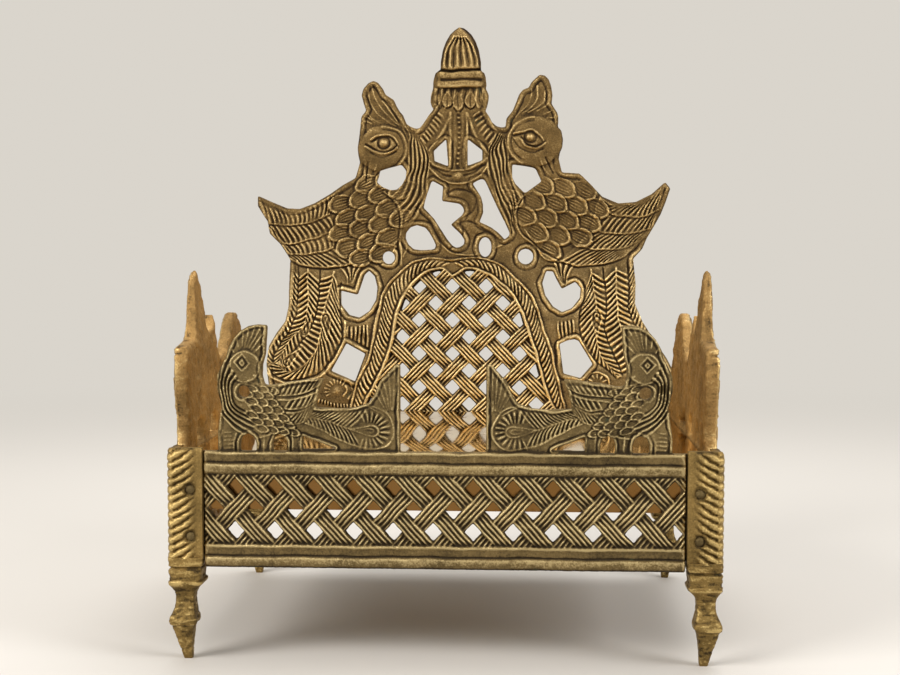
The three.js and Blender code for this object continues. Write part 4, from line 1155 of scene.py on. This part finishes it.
# The crescent with its dot, and the sign's cut lines.
strands([
    [(430, 158), (438, 163.5), (450, 168), (459.4, 169), (470, 167), (480.8, 162), (487, 157.5)],
    [(430, 166), (439.5, 175), (450, 180.7), (459.4, 182), (470, 180), (480.8, 174), (487.5, 166)],
], 0.62, 0.6)
strands([[(434, 165), (445, 172.5), (452, 174.5)], [(465, 174.5), (474, 171), (483, 164)]], 0.6, -0.5)
back.press(on_crest([(458.8, 174.8)]), 2.5, 1.0)
strands([
    [(448, 191), (457, 187.5), (468, 189), (476, 197), (474, 208), (465, 215), (460, 219)],
    [(461, 221), (470, 219.5), (481, 224), (492, 232), (503, 239)],
    [(462, 224), (463, 232), (457, 241), (451, 246)],
], 0.62, -0.42)
crest_line([(428, 230), (440, 240), (452, 250), (470, 253), (488, 249), (502, 243)], 0.5, 0.45)

# The finial: a ribbed dome on two rolls, round in front and behind, with leaf tips under it.
finial = (back.z > finial_base) & (np.abs(back.x) < 10)
share = np.clip((back.z - finial_base) / (finial_top - finial_base), 0, 1)
radius = dome_radius(share)
swell = np.sqrt(np.clip(1 - ((back.x + 0.4) / radius) ** 2, 0, 1))
on_dome = np.clip((share - 0.29) * 30, 0, 1) * np.clip((0.99 - share) * 8, 0, 1)
slot = np.exp(-(((back.z - 181.35) / 0.42) ** 2)) * (np.abs(back.x) < 7.4)
slot += np.exp(-(((back.z - 184.75) / 0.35) ** 2))
body = finial_half_depth * np.maximum(swell, 0.3) * (0.78 + 0.22 * on_dome) - 0.75 * slot
back.level = np.where(finial, finial_middle + body, back.level)
back.rear = np.where(finial, finial_middle - finial_half_depth * swell, back.rear)
back.ridges[finial] = 0
back.grooves[finial] = 0


def dome_rib(x, top_share, top, height):
    """A rib up the dome from its base: it leans in towards the tip as the dome narrows."""
    off = x - 461
    crest_line([(x, 68.5), (x, 60), (461 + off * 0.78, 49), (461 + off * top_share, top)], 0.5, height)


ribs = [444.9, 451, 458.3, 465, 471.7, 477.7]
for x in ribs:
    dome_rib(x, 0.36, 38.5, 0.6)
for x, after in zip(ribs, ribs[1:]):
    dome_rib((after + x) / 2, 0.4, 40, -0.45)
crest_line([(439, 70.4), (450, 71.2), (472, 71.2), (483, 70.6)], 0.5, -0.6)
combed([(443, 89), (441.5, 98), (437, 108)], [(484, 89), (483, 98), (487, 107)], 7, 0)
crest_line([(432.5, 92), (431.2, 99), (434, 106)], 0.62, 0.62)
back.press(on_crest([(437, 98)]), 2.6, 0.9)
for x in (448, 459, 471):
    back.leaf(crest_spot(x, 92), crest_spot(x, 111 - abs(x - 460) / 3), 1.9, 1, 0.4)

back_mesh = back.finish("back_casting", 23, back_faces)
# Higher up the crest the painted shade and highlight fade.
back.cavity *= 1 - 0.32 * np.clip((back.z - 105) / 20, 0, 1)
back.stain(back_mesh)
# Below these heights the back's colour is lighter, with a painted highlight on its ridges.
brighter_below = (0.098, 0.130)
back_brass = cast_brass("golden_cast_brass", dark_umber, golden_brass, warm_brass, 0.30, 1.0, brighter_below)
back_piece = new_object("back_casting", back_mesh, back_brass)
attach(back_piece, "root")
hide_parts("back_panel")

# The side panels. Each is a flat casting like the front one, with a single tall peacock that faces
# forward. Two lugs on its inner side carry the seat sheet.
side_half = 48.3
side_pitch = 0.27
side_level = 4.0
side_faces = 150000
side_bird_foot = 61.0
side_bird_start = -53.5
side_bird_length = 103.0
side_bird_height = 52.4
crest_taper = 2.2
crest_taper_from = 90.5
crest_taper_to = 115.4
lug_places = (-24.3, 12.3)
lug_length = 12.0
lug_top = 59.5
lug_height = 2.0
lug_reach = 2.2
lug_root = 0.3
dark_bronze = (0.020, 0.011, 0.004, 1)
bronze_brass = (0.330, 0.200, 0.072, 1)


def rounded_block(low, high, bevel):
    """A mesh of a block whose edges are taken off by a bevel."""
    shaped = bmesh.new()
    bmesh.ops.create_cube(shaped, size=1)
    for vertex in shaped.verts:
        for k in range(3):
            vertex.co[k] = high[k] if vertex.co[k] > 0 else low[k]
    bmesh.ops.bevel(
        shaped, geom=shaped.edges[:], offset=bevel, segments=3, affect="EDGES", profile=0.7
    )
    mesh = bpy.data.meshes.new("block")
    shaped.to_mesh(mesh)
    shaped.free()
    return mesh


def side_peacock(plate):
    """Draws the side bird's plumage, in shares of its length and height."""

    def at(points):
        across, up = np.asarray(points, float).reshape(-1, 2).T
        x = side_bird_start + across * side_bird_length
        return np.stack([x, side_bird_foot + up * side_bird_height], axis=-1)

    def spot(x, z):
        return at([(x, z)])[0]

    # The head: domed, with an almond eye, a long beak and a fan of crest feathers.
    middle = spot(0.135, 0.5)
    off = np.hypot(plate.x - middle[0], plate.z - middle[1]) / 5.9
    plate.level += 0.55 * np.sqrt(np.clip(1 - off**2, 0, 1))
    plate.ring(middle, 5.8, 0.6, 0.6)
    plate.line(at([(0.095, 0.515), (0.12, 0.55), (0.15, 0.55), (0.175, 0.52)]), 0.6, 0.6)
    plate.line(at([(0.09, 0.505), (0.125, 0.46), (0.16, 0.475), (0.18, 0.51)]), 0.6, 0.6)
    plate.press([middle + [0, 0.4]], 1.5, 0.8)
    plate.line(at([(0.075, 0.51), (0.04, 0.53), (0.01, 0.54)]), 0.5, -0.6)
    plate.line(at([(0.01, 0.565), (0.05, 0.575), (0.09, 0.59)]), 0.6, 0.5)
    tips = [
        (0.155, 0.74), (0.172, 0.85), (0.187, 0.92), (0.205, 0.965), (0.222, 0.975), (0.236, 0.93),
        (0.25, 0.84), (0.262, 0.74), (0.27, 0.65),
    ]
    plate.fan(middle, at(tips), 7.2, 0.62, 0.6)
    # The neck's strands, the ring behind it, the body's scales and the wing.
    for k in range(6):
        neck = [
            (0.022 + 0.022 * k, 0.40 - 0.01 * k), (0.02 + 0.027 * k, 0.28), (0.05 + 0.03 * k, 0.19),
            (0.14 + 0.03 * k, 0.16 + 0.004 * k),
        ]
        plate.line(at(neck), 0.62, 0.6)
    plate.ring(spot(0.2, 0.33), 3.5, 0.7, 0.6)
    for row in range(4):
        for place in range(4):
            x = 0.24 + 0.055 * place - 0.01 * row
            z = 0.42 - 0.07 * row - 0.012 * place
            plate.leaf(spot(x, z + 0.03), spot(x + 0.062, z - 0.02), 2.3, 3, 0.35)
    feathers = [
        [(0.28, 0.56), (0.32, 0.6), (0.355, 0.65), (0.373, 0.71)],
        [(0.30, 0.46), (0.34, 0.51), (0.375, 0.56)],
        [(0.33, 0.38), (0.38, 0.43), (0.41, 0.47)],
        [(0.37, 0.29), (0.42, 0.34), (0.46, 0.4)],
        [(0.40, 0.21), (0.46, 0.25), (0.5, 0.33)],
    ]
    for top, low in zip(feathers, feathers[1:]):
        plate.hatch(at(low), at(top), 2.2, 1.2, 0, 0.6, 0.6)
        plate.line(at(low), 0.65, 0.6)
    # The tail: quills that sweep back, with barbs on both sides of each, and the stand's ribs below.
    quills = [
        [(0.50, 0.26), (0.54, 0.38), (0.6, 0.53), (0.665, 0.68)],
        [(0.52, 0.2), (0.6, 0.36), (0.66, 0.52), (0.7, 0.68)],
        [(0.56, 0.17), (0.66, 0.3), (0.72, 0.45), (0.74, 0.62)],
        [(0.6, 0.14), (0.71, 0.23), (0.79, 0.35), (0.8, 0.46)],
        [(0.63, 0.11), (0.75, 0.16), (0.86, 0.24), (0.91, 0.25)],
        [(0.66, 0.08), (0.78, 0.09), (0.9, 0.13), (0.985, 0.17)],
        [(0.66, 0.045), (0.8, 0.03), (0.9, 0.03), (0.99, 0.04)],
    ]
    for top, low in zip(quills, quills[1:]):
        seam = (np.array(top) + np.array(low)) / 2
        plate.hatch(at(top), at(seam), 2.0, 2.2, 0, 0.55, 0.6)
        plate.hatch(at(low), at(seam), 2.0, 2.2, 0, 0.55, 0.6)
    for quill in quills:
        plate.line(at(quill), 0.6, 0.65)
    for x in (0.05, 0.085, 0.258, 0.275, 0.42, 0.445):
        plate.line(at([(x, 0.02), (x, 0.14)]), 0.5, 0.5)


def add_lugs(mesh, side, back_face):
    """Joins the two lugs to a side panel's mesh, their roots just inside its back."""
    shaped = bmesh.new()
    shaped.from_mesh(mesh)
    reach = sorted((side * (back_face - lug_reach), side * (back_face + lug_root)))
    for start in lug_places:
        low = Vector((reach[0], start, lug_top - lug_height)) * mm
        high = Vector((reach[1], start + lug_length, lug_top)) * mm
        lug = rounded_block(low, high, 0.3 * mm)
        shaped.from_mesh(lug)
        bpy.data.meshes.remove(lug)
    shaped.to_mesh(mesh)
    shaped.free()


side_brass = cast_brass("brown_cast_brass", dark_bronze, bronze_brass, warm_brass, 0.30)
for side, name in ((-1, "left"), (1, "right")):
    panel = Casting(f"{name}_side_panel", 1, 0, side, side_pitch)
    panel.level += side_level
    panel.apron(side_half)
    panel.rim(border_rise, panel.z > rail_top)
    side_peacock(panel)
    taper = (panel.z - crest_taper_from) / (crest_taper_to - crest_taper_from)
    panel.rear += crest_taper * np.clip(taper, 0, 1)
    side_mesh = panel.finish(f"{name}_side_casting", 31 + side, side_faces, 0.05, 0.11, (1.1, 1.3))
    panel.stain(side_mesh)
    add_lugs(side_mesh, side, panel.back)
    side_piece = new_object(f"{name}_side_casting", side_mesh, side_brass)
    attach(side_piece, "root")
    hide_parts(f"{name}_side_panel")


# The posts with their legs. Each is one casting: two flanges at a right angle with slanting rope ridges
# on their outer faces, over a squared, moulded leg that ends in a small blunt foot.
half_width = 80.0
half_depth = 59.0
post_face = 10.4
rope_depth = 1.2
flange_inner = 3.4
post_bottom = 30.2
post_top = 62.4
rope_pitch = 2.42
rivet_inset = 7.0
side_rivet_inset = 8.3
rivet_heights = (36.8, 50.4)
corner_radius = 0.9
no_rivet = 99
leg_height = 30.6
leg_sides = 48
leg_pitting = 0.12
# The leg's heights, with half its width and how far it leans out towards the corner at each.
leg_levels = [
    (0.0, 1.15, 0.1), (0.5, 1.3, 0.15), (3.5, 1.8, 0.5), (7.0, 2.5, 0.85), (9.6, 3.1, 1.05),
    (10.3, 3.3, 1.05), (10.7, 4.0, 1.0), (11.4, 4.2, 1.0), (12.2, 4.1, 1.0), (13.6, 3.6, 0.85),
    (15.4, 3.0, 0.65), (17.0, 2.75, 0.55), (19.0, 2.75, 0.5), (20.4, 3.2, 0.45), (21.6, 4.1, 0.3),
    (22.5, 5.0, 0.1), (23.3, 5.15, 0.0), (23.6, 4.75, 0.2), (24.2, 4.7, 0.25), (26.8, 4.95, 0.2),
    (27.2, 4.45, 0.1), (27.6, 4.45, 0.05), (28.0, 5.1, 0.0), (29.2, 5.2, 0.0), (30.6, 5.2, 0.0),
]
dark_gold = (0.025, 0.014, 0.004, 1)
yellow_brass = (0.230, 0.152, 0.052, 1)
bright_gold = (0.64, 0.47, 0.19, 1)


def rope(inward, height, rivet_at):
    """How far the rope ridges stand out of a flange, at places inward from its corner and up its height."""
    rise = 0.34 * inward + 0.028 * inward**2
    phase = (height - rise - post_bottom) / rope_pitch
    phase = phase + 0.06 * np.sin(1.3 * height) + 0.04 * np.sin(2.9 * height + inward)
    ridge = np.abs(np.cos(math.pi * phase)) ** 0.75
    fade = np.clip((8.6 - inward) / 2.6, 0.0, 1) ** 0.7
    out = rope_depth * (0.10 + 0.88 * ridge * fade + 0.16 * (1 - fade))
    out *= np.clip((post_top - height) / 0.9, 0.25, 1)
    for place in rivet_heights:
        away = np.hypot(inward - rivet_at, height - place)
        out = np.where(away < 2.3, out * np.clip((away - 1.5) / 0.8, 0, 1) + 0.12 * (away < 1.9), out)
    return out


def solid_mesh(name, shaped, angle):
    """The finished mesh of a closed shape, smooth but for edges that turn by more than the angle."""
    bmesh.ops.recalc_face_normals(shaped, faces=shaped.faces)
    mesh = bpy.data.meshes.new(name)
    shaped.to_mesh(mesh)
    shaped.free()
    shade_smooth(mesh, angle)
    return mesh


def post_rows():
    """The L-section post's places in rows up its height, measured in from its outer corner, and how far
    each stands out of the relief around it."""
    inner, face = flange_inner, post_face
    # Each column has its place, its way out, how far it lies in from the corner, and its rivets' place.
    run = np.linspace(rope_depth + corner_radius, face, 46)
    back_run = np.linspace(face, rope_depth + corner_radius, 46)
    columns = [(x, rope_depth, 0, -1, x, rivet_inset) for x in back_run]
    for angle in np.linspace(0, 1, 9)[1:-1] * math.pi / 2:
        x = rope_depth + corner_radius * (1 - math.sin(angle))
        y = rope_depth + corner_radius * (1 - math.cos(angle))
        inward = 1.4 - abs(angle - math.pi / 4)
        columns.append((x, y, -math.sin(angle), -math.cos(angle), inward, no_rivet))
    columns += [(rope_depth, y, -1, 0, y, side_rivet_inset) for y in run]
    inside = [(rope_depth + 0.25, face), (inner - 0.25, face), (inner, face - 0.3)]
    inside += [(inner, y) for y in np.linspace(face - 0.6, inner + 0.5, 8)]
    inside += [(inner + 0.15, inner + 0.15)]
    inside += [(x, inner) for x in np.linspace(inner + 0.5, face - 0.6, 8)]
    inside += [(face, inner - 0.3), (face, rope_depth + 0.25)]
    columns += [(x, y, 0, 0, no_rivet, no_rivet) for x, y in inside]
    heights = np.concatenate([np.linspace(post_bottom, post_top - 0.25, 118), [post_top]])
    z = np.repeat(heights[:, None], len(columns), axis=1)
    values = (np.tile(c, (len(heights), 1)) for c in np.array(columns).T)
    base_x, base_y, out_x, out_y, inward, rivet_at = values
    outer = (out_x != 0) | (out_y != 0)
    lift = np.zeros_like(z)
    for at in (rivet_inset, side_rivet_inset):
        lift = np.where(outer & (rivet_at == at), rope(inward, z, at), lift)
    round_corner = 0.35 * rope_depth + 0.6 * rope(inward, z, no_rivet)
    lift = np.where(outer & (rivet_at == no_rivet), round_corner, lift)
    rows = np.stack([base_x + out_x * lift, base_y + out_y * lift, z], axis=-1)
    # The top edge is worn in a little.
    rows[-1, :, :2] += (5.0 - rows[-1, :, :2]) * 0.02
    # The rope's grooves get a low relief and its ridges a high one, which the material paints as patina and
    # painted shade, and wear and painted highlight.
    relief = 0.35 * (lift - 0.55 * rope_depth) * np.clip((9.0 - inward) / 1.2, 0, 1) + 0.02
    return rows, np.where(outer, relief, 0.02)


def running_mean(values, count):
    """Each value's mean with those beside it, the ends held."""
    padded = np.pad(values, count // 2, mode="edge")
    return np.convolve(padded, np.ones(count) / count, "valid")


def leg_rows(random):
    """The same for the leg: a moulded, nearly square section that is pitted all over."""
    heights, halves, splays = np.array(leg_levels).T
    fine = np.unique(np.concatenate([np.linspace(0, leg_height, 120), heights]))
    splay = running_mean(np.interp(fine, heights, splays), 7)
    half_widths = np.interp(fine, heights, halves)
    half_widths = np.convolve(np.pad(half_widths, 1, mode="edge"), np.array([1, 2, 1]) / 4, "valid")
    turn = (np.arange(leg_sides) + 0.5) / leg_sides * 2 * math.pi
    square = 1 / (np.abs(np.cos(turn)) ** 7 + np.abs(np.sin(turn)) ** 7) ** (1 / 7)
    rows, relief = [], []
    for height, half, mean, out in zip(fine, half_widths, running_mean(half_widths, 19), splay):
        scallop = 0.0
        if 9.5 < height < 12.6:
            scallop = 0.35 * np.abs(np.sin(turn * 6)) * (1 - abs(height - 11) / 1.6)
        reach = half * square - scallop
        middle = post_face / 2 - out
        x, y = (
            np.clip(middle + np.clip(reach * way, -half, half), 0.02, post_face)
            for way in (np.cos(turn), np.sin(turn))
        )
        rows.append(np.stack([x, y, np.full(leg_sides, height)], axis=-1))
        # Where the leg narrows its relief is low, and where it swells high, which the material paints as
        # painted shade and highlight, partly patina and wear.
        relief.append(np.full(leg_sides, (half - mean) * 0.28 + 0.02))
    rows = np.array(rows)
    pits = random.standard_normal(rows.shape[:2])
    for _ in range(3):
        total = pits
        for step, axis in ((1, 0), (-1, 0), (1, 1), (-1, 1)):
            total = total + np.roll(pits, step, axis)
        pits = total / 5
    pits *= leg_pitting / pits.std() * np.clip((rows[..., 2] - 0.3) / 1.0, 0, 1)
    out = rows[..., :2] - post_face / 2
    out /= np.linalg.norm(out, axis=-1, keepdims=True) + 1e-9
    rows[..., :2] += out * np.minimum(pits, 0.0)[..., None]
    # The pits carry their depth into the relief, so the material paints them dark: patina and painted shade.
    return rows, np.array(relief) + 0.6 * pits


def post_mesh(name, turn_x, turn_y, seed):
    """A post over its leg, two closed shapes that meet, at the corner that the two turns name."""
    shaped = bmesh.new()
    tones = []
    for rows, relief in (post_rows(), leg_rows(np.random.default_rng(seed))):
        x = turn_x * (rows[..., 0] - half_width)
        y = turn_y * (rows[..., 1] - half_depth)
        places = np.stack([x, y, rows[..., 2]], axis=-1)
        made = [[shaped.verts.new(p * mm) for p in row] for row in places]
        for low, high in zip(made, made[1:]):
            for k in range(len(low)):
                n = (k + 1) % len(low)
                shaped.faces.new((low[k], low[n], high[n], high[k]))
        shaped.faces.new(made[0][::-1])
        shaped.faces.new(made[-1])
        tones.append(relief.ravel())
    mesh = solid_mesh(name, shaped, 50)
    store_relief(mesh, np.concatenate(tones))
    return mesh


leg_brass = cast_brass("gold_cast_brass", dark_gold, yellow_brass, bright_gold, 0.22, 0.9)
for end, turn_y in (("front", 1), ("rear", -1)):
    for hand, turn_x in (("left", 1), ("right", -1)):
        mesh = post_mesh(f"{end}_{hand}_post", turn_x, turn_y, 50 + turn_x + 3 * turn_y)
        piece = new_object(f"{end}_{hand}_post", mesh, leg_brass)
        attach(piece, "root")
        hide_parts(f"{end}_{hand}_leg")


# The seat. A thin polished brass sheet laid on the side panels' lugs, bent down at its front and rear.
# It is rolled, not cast, so it is smooth and mirrors the lattice behind it.
seat_half = 74.4
seat_reach = 53.4
seat_top = 60.8
sheet = 1.0
fold_half = 68.0
fold_bottom = 44.0
fold_radius = 1.2


def bent_sheet():
    """The seat's section from the front fold's lower edge to the rear one's, and the sheet along it."""
    section = [(-seat_reach, z) for z in np.linspace(fold_bottom, seat_top - fold_radius, 12)]
    for angle in np.linspace(0, math.pi / 2, 7)[1:-1]:
        y = fold_radius * (1 - math.cos(angle)) - seat_reach
        section.append((y, seat_top - fold_radius * (1 - math.sin(angle))))
    half = seat_reach - fold_radius
    section += [(y, seat_top - 0.10 * (y / half) ** 2) for y in np.linspace(-half, half, 60)]
    section += [(-y, z) for y, z in section[:17][::-1]]
    outer = np.array(section)
    ahead = np.gradient(outer, axis=0)
    normal = np.stack([ahead[:, 1], -ahead[:, 0]], axis=-1)
    normal /= np.linalg.norm(normal, axis=1, keepdims=True)
    return outer, outer + normal * sheet


def seat_mesh():
    outer, inner = bent_sheet()
    shaped = bmesh.new()
    across = np.linspace(-seat_half, seat_half, 90)
    wide = [k for k, (y, z) in enumerate(outer) if z > seat_top - 0.2]
    rows = []
    for x in across:
        sway = 0.035 * np.sin(outer[:, 0] / 9.0 + x / 17.0) + 0.03 * np.sin(x / 11.0 - outer[:, 0] / 23.0)
        sway = np.where(outer[:, 1] > seat_top - 0.3, sway - 0.07, 0)
        x_here = np.full(len(outer), x)
        x_here[: wide[0]] *= fold_half / seat_half
        x_here[wide[-1] + 1 :] *= fold_half / seat_half
        rows.append([
            [shaped.verts.new(Vector((a, p[0], p[1] + s)) * mm) for a, p, s in zip(x_here, line, sway)]
            for line in (outer, inner)
        ])
    for (top_a, low_a), (top_b, low_b) in zip(rows, rows[1:]):
        for k in range(len(outer) - 1):
            shaped.faces.new((top_a[k], top_b[k], top_b[k + 1], top_a[k + 1]))
            shaped.faces.new((low_a[k + 1], low_b[k + 1], low_b[k], low_a[k]))
        for k in (0, len(outer) - 1):
            shaped.faces.new((top_a[k], low_a[k], low_b[k], top_b[k]))
    for top, low in (rows[0], rows[-1]):
        for k in range(len(outer) - 1):
            shaped.faces.new((top[k], top[k + 1], low[k + 1], low[k]))
    return solid_mesh("seat_sheet", shaped, 40)


seat_brass, wire = new_material("polished_sheet_brass")
place = wire.node("ShaderNodeTexCoord", output="Object")
haze = wire.noise(place, 45.0, 5.0, 0.6)
spots = wire.noise(place, 260.0, 3.0).smooth(0.60, 0.72)
stretched = wire.node("ShaderNodeMapping", None, {"Vector": place, "Scale": (30.0, 900.0, 30.0)})
scratches = wire.noise(stretched, 1.0, 2.0)
height = wire.node("ShaderNodeSeparateXYZ", None, {"Vector": place}, output="Z")
# The bent-down folds under the seat's top are painted dark: a painted shade.
fold_shade = 1 - height.smooth(0.0585, 0.0602)
colour = haze.smooth(0.35, 0.70).mix((0.78, 0.58, 0.28, 1), (0.64, 0.43, 0.17, 1))
colour = (spots * 0.5).mix(colour, (0.34, 0.20, 0.07, 1))
colour = (fold_shade * 0.92).mix(colour, (0.17, 0.075, 0.016, 1))
bump = wire.node("ShaderNodeBump", None, {"Strength": 0.10, "Distance": 0.00003, "Height": scratches})
values = {
    "Base Color": colour, "Metallic": 1.0, "Normal": bump,
    "Roughness": 0.035 + haze.smooth(0.4, 0.7) * 0.07 + spots * 0.12 + fold_shade * 0.12,
}
finish_material(wire, wire.node("ShaderNodeBsdfPrincipled", None, values))
seat_piece = new_object("seat_sheet", seat_mesh(), seat_brass)
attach(seat_piece, "root")
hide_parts("seat_plate")


# The rivets. Sixteen short brass pins, hammered over by hand, so no two of their low domes are alike.
# Each joins a panel's end tab to a post's flange, its head outside and its flattened tail inside.
rivet_start = 0.9
rivet_grip = 4.7
rivet_limit = 1.28
rivet_sides = 28
# Radius and depth along a rivet, from the top of its head to the end of its tail.
rivet_profile = [
    (0.0, -0.80), (0.35, -0.79), (0.65, -0.72), (0.90, -0.58), (1.10, -0.38), (1.22, -0.16),
    (1.25, 0.05), (1.15, 0.12), (0.8, 0.14), (0.8, rivet_grip), (1.15, rivet_grip),
    (1.25, rivet_grip + 0.15), (1.0, rivet_grip + 0.5), (0.6, rivet_grip + 0.7), (0.0, rivet_grip + 0.8),
]
dark_rivet = (0.020, 0.012, 0.005, 1)
rivet_tone = (0.150, 0.108, 0.048, 1)


def rivet_mesh(name, at, outward, random):
    """A rivet with its head towards outward: a worn dome, a shank and a peened tail."""
    turn = np.arange(rivet_sides) / rivet_sides * 2 * math.pi
    phase = random.uniform(0, 6.28, 3)
    uneven = 1 + 0.05 * np.sin(2 * turn + phase[0]) + 0.04 * np.sin(3 * turn + phase[1])
    uneven += 0.02 * np.sin(7 * turn + phase[2])
    outward = np.asarray(outward, float)
    sideways = np.array([-outward[1], outward[0], 0.0])
    shaped = bmesh.new()
    rings = []
    for radius, depth in rivet_profile:
        dent = 0.05 * random.standard_normal(rivet_sides) * (0.2 < radius) * (depth < 0)
        centre = np.asarray(at, float) - outward * (depth + rivet_start)
        if radius == 0:
            rings.append([shaped.verts.new(Vector(centre) * mm)])
            continue
        ring = []
        for k in range(rivet_sides):
            reach = min(radius * uneven[k], rivet_limit)
            p = centre + sideways * reach * math.cos(turn[k])
            p = p + np.array([0, 0, 1.0]) * reach * math.sin(turn[k])
            ring.append(shaped.verts.new(Vector(p - outward * max(dent[k], -0.03)) * mm))
        rings.append(ring)
    for a, b in zip(rings, rings[1:]):
        for k in range(rivet_sides):
            n = (k + 1) % rivet_sides
            corners = [a[k % len(a)], a[n % len(a)], b[n % len(b)], b[k % len(b)]]
            shaped.faces.new(list(dict.fromkeys(corners)))
    return solid_mesh(name, shaped, 50)


rivet_brass = cast_brass("dull_rivet_brass", dark_rivet, rivet_tone, pale_brass, 0.30, 0.6)
random = np.random.default_rng(77)
for end, turn_y in (("front", -1), ("rear", 1)):
    for hand, turn_x in (("left", -1), ("right", 1)):
        for level, height in zip(("lower", "upper"), rivet_heights):
            x, y = turn_x * (half_width - rivet_inset), turn_y * (half_depth - side_rivet_inset)
            for face, at, outward in (
                ("end", (x, turn_y * half_depth, height), (0, turn_y, 0)),
                ("side", (turn_x * half_width, y, height), (turn_x, 0, 0)),
            ):
                node = f"{end}_{hand}_{face}_rivet_{level}"
                mesh = rivet_mesh(f"{node}_head", at, outward, random)
                piece = new_object(f"{node}_head", mesh, rivet_brass)
                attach(piece, "root")
                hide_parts(node)
